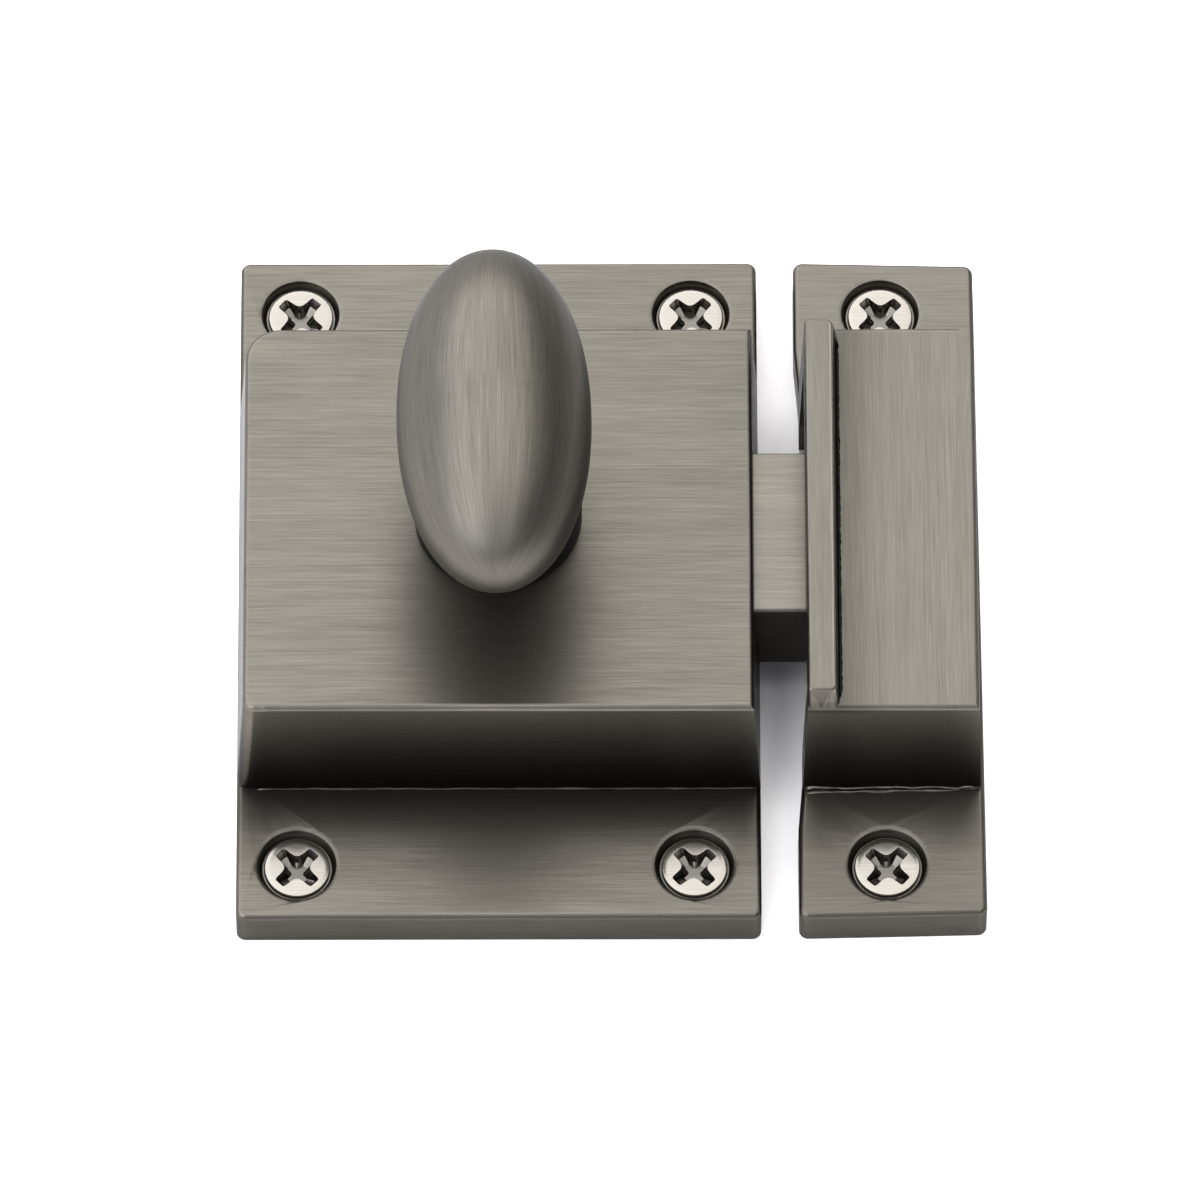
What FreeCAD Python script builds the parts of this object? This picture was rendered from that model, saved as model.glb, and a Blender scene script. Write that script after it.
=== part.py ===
import FreeCAD, Part
import math
import os
import re

import Sketcher
from FreeCAD import Vector

# Cupboard catch latch: a cast latch case with an oval turning knob and a sprung bolt, and its cast keeper.
# X runs from the latch to the keeper, Y along the long sides of the plates, Z out of the mounting face.
# The origin is on the knob's axis, in the plane of the flat backs.

os.makedirs("parts", exist_ok=True)
doc = FreeCAD.newDocument("cupboard_catch_latch")

# Driving dimensions in millimetres and degrees. Each alias holds an underscore.
SIZES = [
    ("plate_width", 44.45, "latch plate, along X"),
    ("plate_height", 64.5, "latch plate and keeper plate, along Y"),
    ("plate_thick", 3.9, "both plates"),
    ("plate_corner", 0.8, "corner radius of the plates, seen from the front"),
    ("plate_edge", 0.5, "rounded front edge of the plates"),
    ("block_rise", 11.8, "raised blocks above their plates"),
    ("block_foot", 39.6, "raised blocks along Y, where they meet the plate"),
    ("block_crown", 37.2, "raised blocks along Y, at their face"),
    ("block_lean", 0.68, "how far each end of the case's block leans in along X"),
    ("block_corner", 2.0, "upright corner of the case's block, lower left"),
    ("block_corner_far", 3.0, "upright corner of the case's block, upper left"),
    ("block_edge", 0.5, "rounded edge round the faces of the blocks"),
    ("case_roof", 2.35, "wall between the case's face and its cavity"),
    ("mouth_wall", 3.0, "wall of the case at the bolt's mouth"),
    ("blind_wall", 3.2, "wall of the case behind the spring"),
    ("cavity_corner", 1.0, "upright corners of the cavity"),
    ("snug_gap", 0.02, "gap round what is pressed or screwed in"),
    ("back_plate_thick", 1.2, "sheet that closes the case"),
    ("back_plate_land", 1.2, "ledge for the back plate at the ends of the cavity"),
    ("back_plate_side", 5.4, "ledge for the back plate at the sides of the cavity"),
    ("back_plate_gap", 0.1, "gap round the back plate in its seat"),
    ("back_screw_inset", 2.5, "back plate screws, from the ends of the cavity"),
    ("back_screw_side", 3.0, "back plate screws, from the sides of the cavity"),
    ("back_screw_shank", 2.0, "diameter of a back plate screw"),
    ("back_screw_room", 0.1, "gap round a back plate screw in the back plate"),
    ("back_screw_head", 3.8, "diameter of its countersunk head"),
    ("back_screw_length", 7.0, "overall length of a back plate screw"),
    ("back_screw_spare", 0.6, "how much deeper its hole is"),
    ("tongue_width", 15.55, "bolt tongue along Y"),
    ("tongue_thick", 8.8, "bolt tongue along Z"),
    ("tongue_engage", 5.9, "how far the tongue reaches past the keeper's edge"),
    ("tongue_bevel_long", 5.0, "curved underside of the tip, along X"),
    ("tongue_bevel_rise", 3.8, "curved underside of the tip, along Z"),
    ("tongue_bevel_radius", 9.0, "radius of that curve"),
    ("tongue_edge", 0.35, "rounded long edges of the tongue"),
    ("bolt_body_width", 24.0, "wide part of the bolt inside the case"),
    ("bolt_body_corner", 1.4, "upright corners of the wide part"),
    ("bolt_play", 0.15, "gap on each side of the bolt"),
    ("bolt_stop_gap", 0.1, "gap between the bolt's shoulders and the case"),
    ("bolt_back_gap", 0.55, "gap left behind the bolt when it is drawn in"),
    ("bolt_travel", 9.0, "stroke of the bolt"),
    ("crank_lean", 45.0, "angle of the crank from the slot's line at both ends of the stroke"),
    ("crank_thick", 2.2, "crank plate"),
    ("crank_hub", 4.4, "radius of the crank round the spindle"),
    ("crank_eye", 2.5, "radius of the crank round its pin"),
    ("crank_square", 4.2, "square end of the spindle, across its flats"),
    ("square_gap", 0.1, "how far that square end stays inside the crank"),
    ("crank_room", 0.5, "free space round the crank and its washer in the bolt's recess"),
    ("crank_pin_radius", 1.5, "crank pin"),
    ("crank_pin_reach", 4.0, "crank pin inside the bolt's slot"),
    ("crank_pin_edge", 0.3, "chamfer of the crank pin's free end"),
    ("slot_gap", 0.35, "gap between the crank pin and the slot"),
    ("slot_corner", 1.0, "corners of the slot"),
    ("recess_gap", 0.35, "gap below the crank screw's head"),
    ("washer_radius", 4.6, "thrust washer"),
    ("washer_thick", 0.5, "thrust washer"),
    ("axial_play", 0.1, "end float of the knob and spindle"),
    ("spindle_radius", 3.0, "spindle"),
    ("spindle_hold", 8.4, "how deep the spindle sits in the knob"),
    ("spindle_chamfer", 0.4, "end of the spindle"),
    ("running_gap", 0.05, "radial gap of the spindle in the case and the washer"),
    ("crank_screw_shank", 2.0, "diameter of the crank screw"),
    ("crank_screw_head", 4.6, "diameter of its head"),
    ("crank_screw_rise", 1.2, "height of its head"),
    ("crank_screw_deep", 5.0, "how deep it goes into the spindle"),
    ("driver_slot", 0.5, "width of a straight driver slot"),
    ("driver_depth", 0.45, "depth of a straight driver slot"),
    ("spring_side", 8.6, "spring axis, along Y from the middle"),
    ("spring_bore", 4.4, "diameter of the spring's bore in the bolt"),
    ("spring_bore_deep", 19.5, "depth of that bore"),
    ("spring_mean", 3.5, "mean diameter of the spring"),
    ("spring_wire", 0.44, "wire of the spring, across its section"),
    ("spring_turns", 8.0, "turns of the spring"),
    ("spring_end_gap", 0.05, "gap at each end of the spring"),
    ("nib_radius", 1.15, "nib of the case inside the spring"),
    ("nib_long", 3.0, "length of that nib"),
    ("knob_length", 31.75, "egg of the knob, along Y"),
    ("knob_width", 16.4, "egg of the knob, across its round section"),
    ("knob_tip_radius", 5.9, "radius of the egg's two ends"),
    ("knob_stand", 16.2, "middle of the egg above the case's face"),
    ("knob_foot_radius", 7.4, "round foot of the knob"),
    ("knob_foot_rise", 3.4, "height of that foot"),
    ("knob_foot_edge", 0.6, "bevelled upper edge of the foot"),
    ("knob_neck_radius", 4.6, "neck between foot and egg"),
    ("knob_shoulder", 1.6, "slope from the foot to the neck"),
    ("knob_waist", 1.2, "straight part of the neck"),
    ("knob_flare", 1.0, "how far the flared neck stays inside the egg's widest part"),
    ("screw_inset_x", 5.41, "latch screws, from the sides of the plate on average"),
    ("screw_inset_y", 5.17, "screws of latch and keeper, from the ends of the plates"),
    ("screw_shift", -0.25, "middle of the latch screws, along X"),
    ("screw_head", 5.5, "diameter of a wood screw's head"),
    ("screw_shank", 2.8, "diameter of a wood screw's plain shank"),
    ("screw_root", 2.2, "diameter of the threaded part at its root, from the plate's back down"),
    ("screw_length", 16.0, "overall length of a wood screw"),
    ("screw_point", 3.2, "tapered point of a wood screw"),
    ("screw_sunk", 0.56, "head of a wood screw below the plate's face"),
    ("screw_hole", 3.2, "hole for a wood screw"),
    ("screw_hole_edge", 0.4, "softened mouth of the screw holes"),
    ("cross_width", 0.95, "arm of the cross recess"),
    ("cross_span", 3.9, "cross recess, tip to tip"),
    ("cross_deep", 0.6, "depth of the cross recess"),
    ("cross_turn", 45.0, "how far the cross is turned from the plate's sides"),
    ("door_gap", 3.175, "gap between the latch plate and the keeper"),
    ("keeper_width", 15.9, "keeper plate along X, at its near end"),
    ("keeper_taper", 0.4, "how much narrower it is at its far end"),
    ("keeper_drop", 0.35, "how far its outer corners fall back"),
    ("keeper_ease", 0.4, "how far its inner edge is cut back at the mouth"),
    ("keeper_ease_end", 23.5, "where that cut begins, along Y from the middle"),
    ("keeper_lean", 0.7, "how far the keeper block's outer side leans in"),
    ("keeper_inner_lean", 0.3, "how far its inner side leans in"),
    ("keeper_wall", 2.6, "outer wall of the hollow keeper"),
    ("keeper_end_wall", 2.9, "end walls of the hollow keeper"),
    ("keeper_roof", 1.9, "roof of the hollow keeper"),
    ("keeper_corner", 1.0, "inner upright corners of the hollow keeper"),
    ("keeper_screw_set", 7.485, "keeper screws, from its inner edge"),
    ("lip_width", 2.25, "raised lip of the keeper, at its top"),
    ("lip_rise", 2.3, "lip above the keeper's face"),
    ("lip_length", 36.2, "lip along Y"),
    ("lip_flare", 0.35, "how much wider the lip is at its foot"),
    ("lip_end", 0.9, "rounded ends of the lip"),
    ("lip_edge", 0.4, "eased top edge of the lip"),
]

# Places worked out from the driving dimensions.
HALF_WIDTH = "(plate_width / 2)"
HALF_HEIGHT = "(plate_height / 2)"
CASE_TOP = "(plate_thick + block_rise)"
CEILING = f"({CASE_TOP} - case_roof)"
CAVITY_RIGHT = f"({HALF_WIDTH} - mouth_wall)"
CAVITY_LEFT = f"(blind_wall - {HALF_WIDTH})"
CAVITY_SIDE = "(bolt_body_width / 2 + bolt_play)"
BOLT_TOP = f"({CEILING} - bolt_play)"
BOLT_UNDER = "(back_plate_thick + bolt_play)"
BOLT_BACK = f"({CAVITY_LEFT} + bolt_travel + bolt_back_gap)"
SHOULDER = f"({CAVITY_RIGHT} - bolt_stop_gap)"
TONGUE_UNDER = f"({BOLT_TOP} - tongue_thick)"
TONGUE_SIDE = "(tongue_width / 2)"
MOUTH_FLOOR = f"({TONGUE_UNDER} - bolt_play)"
CRANK_RADIUS = "(bolt_travel / (2 * sin(crank_lean * 1deg)))"
CRANK_TOP = f"({CEILING} - axial_play - washer_thick)"
CRANK_UNDER = f"({CRANK_TOP} - crank_thick)"
RECESS_FLOOR = f"({CRANK_UNDER} - crank_screw_rise - recess_gap)"
PIN_PLACE_X = f"({CRANK_RADIUS} * sin(crank_lean * 1deg))"
PIN_NEAR_Y = f"({CRANK_RADIUS} * cos(crank_lean * 1deg))"
SPRING_LEVEL = f"(({BOLT_UNDER} + {BOLT_TOP}) / 2)"
SPRING_END = f"({BOLT_BACK} + spring_bore_deep)"
KNOB_UNDER = f"({CASE_TOP} + axial_play)"
KNOB_MIDDLE = f"({CASE_TOP} + knob_stand)"
SPINDLE_TOP = f"({KNOB_UNDER} + spindle_hold)"
BACK_SCREW_RIGHT = f"({CAVITY_RIGHT} - back_screw_inset)"
BACK_SCREW_LEFT = f"({CAVITY_LEFT} + back_screw_inset)"
BACK_SCREW_SIDE = f"({CAVITY_SIDE} + back_screw_side)"
KEEPER_LEFT = f"({HALF_WIDTH} + door_gap)"
KEEPER_RIGHT = f"({KEEPER_LEFT} + keeper_width)"
KEEPER_MOUTH = f"({KEEPER_LEFT} + keeper_ease)"
KEEPER_FACE_LEFT = f"({KEEPER_MOUTH} + keeper_inner_lean)"
KEEPER_SCREW_X = f"({KEEPER_LEFT} + keeper_screw_set)"
KEEPER_CEILING = f"({CASE_TOP} - keeper_roof)"
TONGUE_TIP = f"({KEEPER_LEFT} + tongue_engage)"
SCREW_TOP = "(plate_thick - screw_sunk)"
SCREW_HOLE_MOUTH = "(screw_head + 2 * (screw_sunk + snug_gap))"
SCREW_REACH_X = "(plate_width / 2 - screw_inset_x)"
SCREW_REACH_Y = "(plate_height / 2 - screw_inset_y)"
EGG_HALF = "(knob_length / 2)"
EGG_SIDE = "(knob_width / 2)"
EGG_TIP_PLACE = f"({EGG_HALF} - knob_tip_radius)"
EGG_SIDE_RADIUS = (
    f"(({EGG_SIDE}^2 - knob_tip_radius^2 + {EGG_TIP_PLACE}^2) / (2 * ({EGG_SIDE} - knob_tip_radius)))"
)
EGG_SHARE = f"({EGG_SIDE_RADIUS} / ({EGG_SIDE_RADIUS} - knob_tip_radius))"
EGG_JOIN_X = f"({EGG_SIDE} - {EGG_SIDE_RADIUS} + {EGG_SHARE} * ({EGG_SIDE_RADIUS} - {EGG_SIDE}))"
EGG_JOIN_Y = f"({EGG_SHARE} * {EGG_TIP_PLACE})"
TINY = 1e-4


def fill_sheet():
    """Write each driving dimension with its alias and its meaning into the spreadsheet."""
    sheet = doc.addObject("Spreadsheet::Sheet", "Sizes")
    for row, (alias, value, meaning) in enumerate(SIZES, 1):
        sheet.set(f"A{row}", meaning)
        sheet.set(f"B{row}", str(value))
        sheet.setAlias(f"B{row}", alias)
    doc.recompute()
    return sheet


sizes = fill_sheet()


def named(expression):
    """The expression with each alias read from the spreadsheet."""
    return re.sub(r"\b([a-z]+_\w+)", r"Sizes.\1", expression)


def size(expression):
    """The present value of an expression of aliases."""
    value = sizes.evalExpression(named(expression))
    return float(getattr(value, "Value", value))


def bind(thing, prop, expression):
    """Tie a property to the spreadsheet."""
    thing.setExpression(prop, named(expression))


def new_body(label):
    """An empty body with the name of its sub-part."""
    body = doc.addObject("PartDesign::Body", label)
    body.Label = label
    doc.recompute()
    return body


def new_sketch(body, name, plane, lift="0"):
    """A sketch on one of the body's own planes, lifted along that plane's normal."""
    support = [p for p in body.Origin.OriginFeatures if p.Role == f"{plane}_Plane"]
    sketch = body.newObject("Sketcher::SketchObject", name)
    sketch.AttachmentSupport = [(support[0], "")]
    sketch.MapMode = "FlatFace"
    bind(sketch, "AttachmentOffset.Base.z", lift)
    return sketch


def pin_point(sketch, curve, end, across, up):
    """Hold a point of the sketch at two distances from its origin, both tied to the spreadsheet."""
    for kind, expression in (("DistanceX", across), ("DistanceY", up)):
        held = sketch.addConstraint(Sketcher.Constraint(kind, -1, 1, curve, end, size(expression)))
        sketch.renameConstraint(held, f"{kind}{curve}_{end}")
        bind(sketch, f"Constraints.{kind}{curve}_{end}", expression)


def hold_radius(sketch, curve, expression):
    """Hold the radius of a circle or an arc."""
    held = sketch.addConstraint(Sketcher.Constraint("Radius", curve, size(expression)))
    sketch.renameConstraint(held, f"Radius{curve}")
    bind(sketch, f"Constraints.Radius{curve}", expression)


def bowed(start, end, radius):
    """An arc of this radius that bows to the right of the way from start to end."""
    half = (end - start) * 0.5
    sag = radius - math.sqrt(radius**2 - half.Length**2)
    outward = Vector(half.y, -half.x, 0).normalize()
    return Part.Arc(start, start + half + outward * sag, end)


def polygon(body, name, plane, corners, lift="0", bows=None):
    """A closed outline through the corners. bows gives the radius of each side that is an arc."""
    sketch = new_sketch(body, name, plane, lift)
    bows = bows or {}
    spots = [Vector(size(across), size(up), 0) for across, up in corners]
    count = len(spots)
    for i, start in enumerate(spots):
        end = spots[(i + 1) % count]
        side = bowed(start, end, size(bows[i])) if i in bows else Part.LineSegment(start, end)
        sketch.addGeometry(side, False)
    ends = [(1, 2)] * count
    for i in bows:
        if (sketch.Geometry[i].StartPoint - spots[i]).Length > TINY:
            ends[i] = (2, 1)
    for i in range(count):
        after = (i + 1) % count
        sketch.addConstraint(Sketcher.Constraint("Coincident", i, ends[i][1], after, ends[after][0]))
    for i, (across, up) in enumerate(corners):
        pin_point(sketch, i, ends[i][0], across, up)
    for i, radius in bows.items():
        hold_radius(sketch, i, radius)
    doc.recompute()
    return sketch


def rectangle(body, name, left, right, low, high, lift="0"):
    """A rectangle between four limits, on a plane square to Z."""
    corners = [(left, low), (right, low), (right, high), (left, high)]
    return polygon(body, name, "XY", corners, lift)


def circles(body, name, plane, centres, radius, lift="0"):
    """Circles of one radius about the given centres."""
    sketch = new_sketch(body, name, plane, lift)
    for i, (across, up) in enumerate(centres):
        middle = Vector(size(across), size(up), 0)
        sketch.addGeometry(Part.Circle(middle, Vector(0, 0, 1), size(radius)), False)
        pin_point(sketch, i, 3, across, up)
        hold_radius(sketch, i, radius)
    doc.recompute()
    return sketch


def settle(feature):
    """Recompute, and stop if the feature failed or doesn't leave its body as one solid."""
    doc.recompute()
    failed = "Invalid" in feature.State or "Error" in feature.State
    if failed or len(feature.Shape.Solids) != 1 or not feature.Shape.isValid():
        raise ValueError(f"{feature.Name} failed: {feature.State}, {len(feature.Shape.Solids)} solids")
    return feature


def pad(body, name, sketch, length, both_ways=False, back=False):
    """Add material on a sketch, along its normal or back against it."""
    feature = body.newObject("PartDesign::Pad", name)
    feature.Profile = sketch
    feature.Midplane = both_ways
    feature.Reversed = back
    bind(feature, "Length", length)
    return settle(feature)


def must_cut(body, name, before):
    """Stop if a feature took no material away."""
    if not body.Shape.Volume < before - TINY:
        raise ValueError(f"{name} cuts nothing")


def pocket(body, name, sketch, length, forward=False):
    """Take material away on a sketch, against its normal or forward along it."""
    before = body.Shape.Volume
    feature = body.newObject("PartDesign::Pocket", name)
    feature.Profile = sketch
    feature.Reversed = forward
    bind(feature, "Length", length)
    settle(feature)
    must_cut(body, name, before)
    return feature


def revolve(body, name, sketch):
    """Turn a sketch about its own upright axis."""
    feature = body.newObject("PartDesign::Revolution", name)
    feature.Profile = sketch
    feature.ReferenceAxis = (sketch, ["V_Axis"])
    feature.Angle = 360.0
    return settle(feature)


def loft(body, name, first, second):
    """Add a straight sided solid between two outlines."""
    feature = body.newObject("PartDesign::AdditiveLoft", name)
    feature.Profile = first
    feature.Sections = [second]
    feature.Ruled = True
    return settle(feature)


def dress(body, kind, name, prop, expression, wanted):
    """Round or bevel the edges of the body that the test accepts."""
    base = body.Tip
    picked = [f"Edge{i}" for i, edge in enumerate(base.Shape.Edges, 1) if wanted(edge)]
    if not picked:
        raise ValueError(f"{name} finds no edge")
    feature = body.newObject(f"PartDesign::{kind}", name)
    feature.Base = (base, picked)
    bind(feature, prop, expression)
    return settle(feature)


def fillet(body, name, radius, wanted):
    """Round the wanted edges."""
    return dress(body, "Fillet", name, "Radius", radius, wanted)


def chamfer(body, name, width, wanted):
    """Bevel the wanted edges."""
    return dress(body, "Chamfer", name, "Size", width, wanted)


def level_at(edge, height):
    """Whether the edge lies flat at this height."""
    box = edge.BoundBox
    return box.ZLength < TINY and abs(box.ZMin - height) < TINY


def upright(edge):
    """Whether the edge runs mostly along Z."""
    box = edge.BoundBox
    return box.ZLength > max(box.XLength, box.YLength)


def round_rim(edge, height, width):
    """Whether the edge is a full circle of this width, flat at this height."""
    return level_at(edge, height) and edge.isClosed() and abs(edge.BoundBox.XLength - width) < TINY


def middle_of(edge):
    """The middle of the edge's box."""
    return edge.BoundBox.Center


def latch_screw_places():
    """Centres of the four latch screws."""
    return [
        (f"(screw_shift {across} {SCREW_REACH_X})", f"(0 {up} {SCREW_REACH_Y})")
        for across in "-+"
        for up in "-+"
    ]


def keeper_screw_places():
    """Centres of the two keeper screws."""
    return [(KEEPER_SCREW_X, f"(0 {up} {SCREW_REACH_Y})") for up in "-+"]


def back_screw_places():
    """Centres of the four back plate screws."""
    return [(across, f"(0 {up} {BACK_SCREW_SIDE})") for across in (BACK_SCREW_LEFT, BACK_SCREW_RIGHT) for up in "-+"]


def screw_holes(body, centres):
    """Countersunk holes through a plate for wood screws, their mouths softened by polishing."""
    sketch = circles(body, "screw_centres", "XY", centres, "screw_hole / 2", "plate_thick")
    before = body.Shape.Volume
    holes = body.newObject("PartDesign::Hole", "screw_holes")
    holes.Profile = sketch
    holes.ThreadType = "None"
    holes.DepthType = "ThroughAll"
    holes.HoleCutType = "Countersink"
    holes.HoleCutCustomValues = True
    holes.HoleCutCountersinkAngle = 90.0
    bind(holes, "Diameter", "screw_hole")
    bind(holes, "HoleCutDiameter", SCREW_HOLE_MOUTH)
    doc.recompute()
    must_cut(body, "screw_holes", before)
    face = size("plate_thick")
    mouth = size(SCREW_HOLE_MOUTH)
    chamfer(body, "screw_hole_mouths", "screw_hole_edge", lambda e: round_rim(e, face, mouth))


def latch_case():
    """The cast case: a plate and a raised block that is hollow from behind."""
    body = new_body("latch_case")
    plan = rectangle(body, "plate_outline", f"0 - {HALF_WIDTH}", HALF_WIDTH, f"0 - {HALF_HEIGHT}", HALF_HEIGHT)
    pad(body, "plate", plan, "plate_thick")
    fillet(body, "plate_corners", "plate_corner", upright)
    face = size("plate_thick")
    fillet(body, "plate_front_edge", "plate_edge", lambda e: level_at(e, face))
    raised_block(body)
    cavity(body)
    bolt_mouth(body)
    back_plate_seat(body)
    bore = circles(body, "spindle_bore_outline", "XY", [("0", "0")], "spindle_radius + running_gap", CASE_TOP)
    pocket(body, "spindle_bore", bore, "case_roof")
    root = f"({CAVITY_LEFT} - blind_wall / 2)"
    nib = circles(body, "spring_nib_outline", "YZ", [("spring_side", SPRING_LEVEL)], "nib_radius", root)
    pad(body, "spring_nib", nib, "nib_long + blind_wall / 2")
    screw_holes(body, latch_screw_places())
    return body


def raised_block(body):
    """The block with its drafted sides, round corners on the left and a sharp end on the right."""
    root = block_plan(body, "block_root_outline", "block_foot", "0", "0")
    pad(body, "block_root", root, "plate_thick")
    low = block_plan(body, "block_foot_outline", "block_foot", "0", "plate_thick")
    high = block_plan(body, "block_crown_outline", "block_crown", "block_lean", CASE_TOP)
    loft(body, "block", low, high)
    top = size(CASE_TOP)
    fillet(body, "block_face_edge", "block_edge", lambda e: level_at(e, top))


def block_plan(body, name, height, lean, lift):
    """The case's block seen from the front, at one level."""
    left = f"({lean} - {HALF_WIDTH})"
    right = f"({HALF_WIDTH} - {lean})"
    half = f"({height} / 2)"
    corners = [
        (f"({left} + block_corner)", f"(0 - {half})"),
        (right, f"(0 - {half})"),
        (right, half),
        (f"({left} + block_corner_far)", half),
        (left, f"({half} - block_corner_far)"),
        (left, f"(block_corner - {half})"),
    ]
    return polygon(body, name, "XY", corners, lift, bows={3: "block_corner_far", 5: "block_corner"})


def cavity(body):
    """The space for the bolt and the crank, open at the back."""
    hollow = rectangle(body, "cavity_outline", CAVITY_LEFT, CAVITY_RIGHT, f"0 - {CAVITY_SIDE}", CAVITY_SIDE)
    pocket(body, "cavity", hollow, CEILING, forward=True)
    side = size(CAVITY_SIDE)
    fillet(
        body, "cavity_corners", "cavity_corner", lambda e: upright(e) and abs(abs(middle_of(e).y) - side) < TINY
    )


def bolt_mouth(body):
    """The opening of the case that the tongue slides through."""
    side = f"({TONGUE_SIDE} + bolt_play)"
    inner = f"({CAVITY_RIGHT} - mouth_wall)"
    outer = f"({HALF_WIDTH} + mouth_wall)"
    opening = rectangle(body, "mouth_outline", inner, outer, f"0 - {side}", side, MOUTH_FLOOR)
    pocket(body, "mouth", opening, f"{CEILING} - {MOUTH_FLOOR}", forward=True)


def back_plate_seat(body):
    """The shallow rebate for the back plate and the holes for its screws."""
    left = f"({CAVITY_LEFT} - back_plate_land)"
    right = f"({CAVITY_RIGHT} + back_plate_land)"
    side = f"({CAVITY_SIDE} + back_plate_side)"
    rebate = rectangle(body, "seat_outline", left, right, f"0 - {side}", side)
    pocket(body, "back_plate_seat", rebate, "back_plate_thick", forward=True)
    radius = "(back_screw_shank / 2 + snug_gap)"
    holes = circles(body, "back_screw_centres", "XY", back_screw_places(), radius)
    pocket(body, "back_screw_holes", holes, "back_screw_length + back_screw_spare", forward=True)


def back_plate():
    """The sheet that closes the case, with countersunk holes in its back."""
    body = new_body("back_plate")
    left = f"({CAVITY_LEFT} - back_plate_land + back_plate_gap)"
    right = f"({CAVITY_RIGHT} + back_plate_land - back_plate_gap)"
    side = f"({CAVITY_SIDE} + back_plate_side - back_plate_gap)"
    plan = rectangle(body, "sheet_outline", left, right, f"0 - {side}", side)
    pad(body, "sheet", plan, "back_plate_thick")
    radius = "(back_screw_shank / 2 + back_screw_room)"
    centres = circles(body, "hole_centres", "XY", back_screw_places(), radius)
    pocket(body, "holes", centres, "back_plate_thick", forward=True)
    width = 2 * size(radius)
    sink = f"back_screw_head / 2 + snug_gap - {radius}"
    chamfer(body, "countersinks", sink, lambda e: round_rim(e, 0.0, width))
    return body


def back_plate_screw(index, place):
    """A small countersunk screw of the back plate, its head flush with the back."""
    body = new_body(f"back_plate_screw_{index}")
    head = "(back_screw_head / 2)"
    shank = "(back_screw_shank / 2)"
    corners = [
        ("0", "0"),
        (head, "0"),
        (shank, f"({head} - {shank})"),
        (shank, "back_screw_length"),
        ("0", "back_screw_length"),
    ]
    revolve(body, "turned_form", polygon(body, "section", "XZ", corners))
    slot = rectangle(body, "slot_outline", f"0 - {head}", head, "0 - driver_slot / 2", "driver_slot / 2")
    pocket(body, "slot", slot, "driver_depth", forward=True)
    bind(body, "Placement.Base.x", place[0])
    bind(body, "Placement.Base.y", place[1])
    return body


def bolt():
    """The bolt: a tongue with a curved underside at its tip, and a wide body with the crank's recess."""
    body = new_body("bolt")
    wide = "(bolt_body_width / 2)"
    plan = rectangle(body, "body_outline", BOLT_BACK, SHOULDER, f"0 - {wide}", wide, BOLT_UNDER)
    pad(body, "wide_body", plan, f"{BOLT_TOP} - {BOLT_UNDER}")
    fillet(body, "body_corners", "bolt_body_corner", upright)
    root = f"({SHOULDER} - mouth_wall)"
    corners = [
        (root, TONGUE_UNDER),
        (f"({TONGUE_TIP} - tongue_bevel_long)", TONGUE_UNDER),
        (TONGUE_TIP, f"({TONGUE_UNDER} + tongue_bevel_rise)"),
        (TONGUE_TIP, BOLT_TOP),
        (root, BOLT_TOP),
    ]
    side_view = polygon(body, "tongue_outline", "XZ", corners, bows={1: "tongue_bevel_radius"})
    pad(body, "tongue", side_view, "tongue_width", both_ways=True)
    shoulder = size(SHOULDER)
    tongue_side = size(TONGUE_SIDE)
    top = size(BOLT_TOP)

    def long_top_edge(edge):
        spot = middle_of(edge)
        return level_at(edge, top) and spot.x > shoulder and abs(abs(spot.y) - tongue_side) < TINY

    fillet(body, "tongue_edges", "tongue_edge", long_top_edge)
    crank_recess(body)
    bore = circles(body, "spring_bore_outline", "YZ", [("spring_side", SPRING_LEVEL)], "spring_bore / 2", BOLT_BACK)
    pocket(body, "spring_bore", bore, "spring_bore_deep", forward=True)
    return body


def crank_recess(body):
    """The recess that the crank swings in and the cross slot that its pin works in."""
    near = "(washer_radius + crank_room)"
    far = f"({CRANK_RADIUS} + crank_eye + crank_room)"
    right = f"(bolt_travel + {near})"
    room = rectangle(body, "recess_outline", f"0 - {near}", right, f"0 - {far}", near, RECESS_FLOOR)
    pocket(body, "crank_recess", room, f"{BOLT_TOP} - {RECESS_FLOOR}", forward=True)
    half = "(crank_pin_radius + slot_gap)"
    slot = rectangle(
        body,
        "slot_outline",
        f"({PIN_PLACE_X} - {half})",
        f"({PIN_PLACE_X} + {half})",
        f"(0 - {CRANK_RADIUS} - {half})",
        f"({half} - {PIN_NEAR_Y})",
        RECESS_FLOOR,
    )
    pocket(body, "cross_slot", slot, RECESS_FLOOR)
    middle = size(PIN_PLACE_X)
    side = size(half)
    floor = size(RECESS_FLOOR)

    def in_slot(edge):
        spot = middle_of(edge)
        return upright(edge) and abs(abs(spot.x - middle) - side) < TINY and spot.z < floor

    fillet(body, "slot_corners", "slot_corner", in_slot)


def bolt_spring():
    """The compression spring, its wire swept along a helix about X."""
    body = new_body("bolt_spring")
    radius = "(spring_wire / 2)"
    low = f"(spring_mean / 2 - {radius})"
    high = f"(spring_mean / 2 + {radius})"
    section = rectangle(body, "wire_section", "0", "spring_wire", low, high)
    coil = body.newObject("PartDesign::AdditiveHelix", "coil")
    coil.Profile = section
    coil.ReferenceAxis = (section, ["H_Axis"])
    coil.Mode = "height-turns-angle"
    bind(coil, "Height", f"{SPRING_END} - {CAVITY_LEFT} - 2 * spring_end_gap - spring_wire")
    bind(coil, "Turns", "spring_turns")
    bind(body, "Placement.Base.x", f"{CAVITY_LEFT} + spring_end_gap")
    bind(body, "Placement.Base.y", "spring_side")
    bind(body, "Placement.Base.z", SPRING_LEVEL)
    doc.recompute()
    return body


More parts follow.
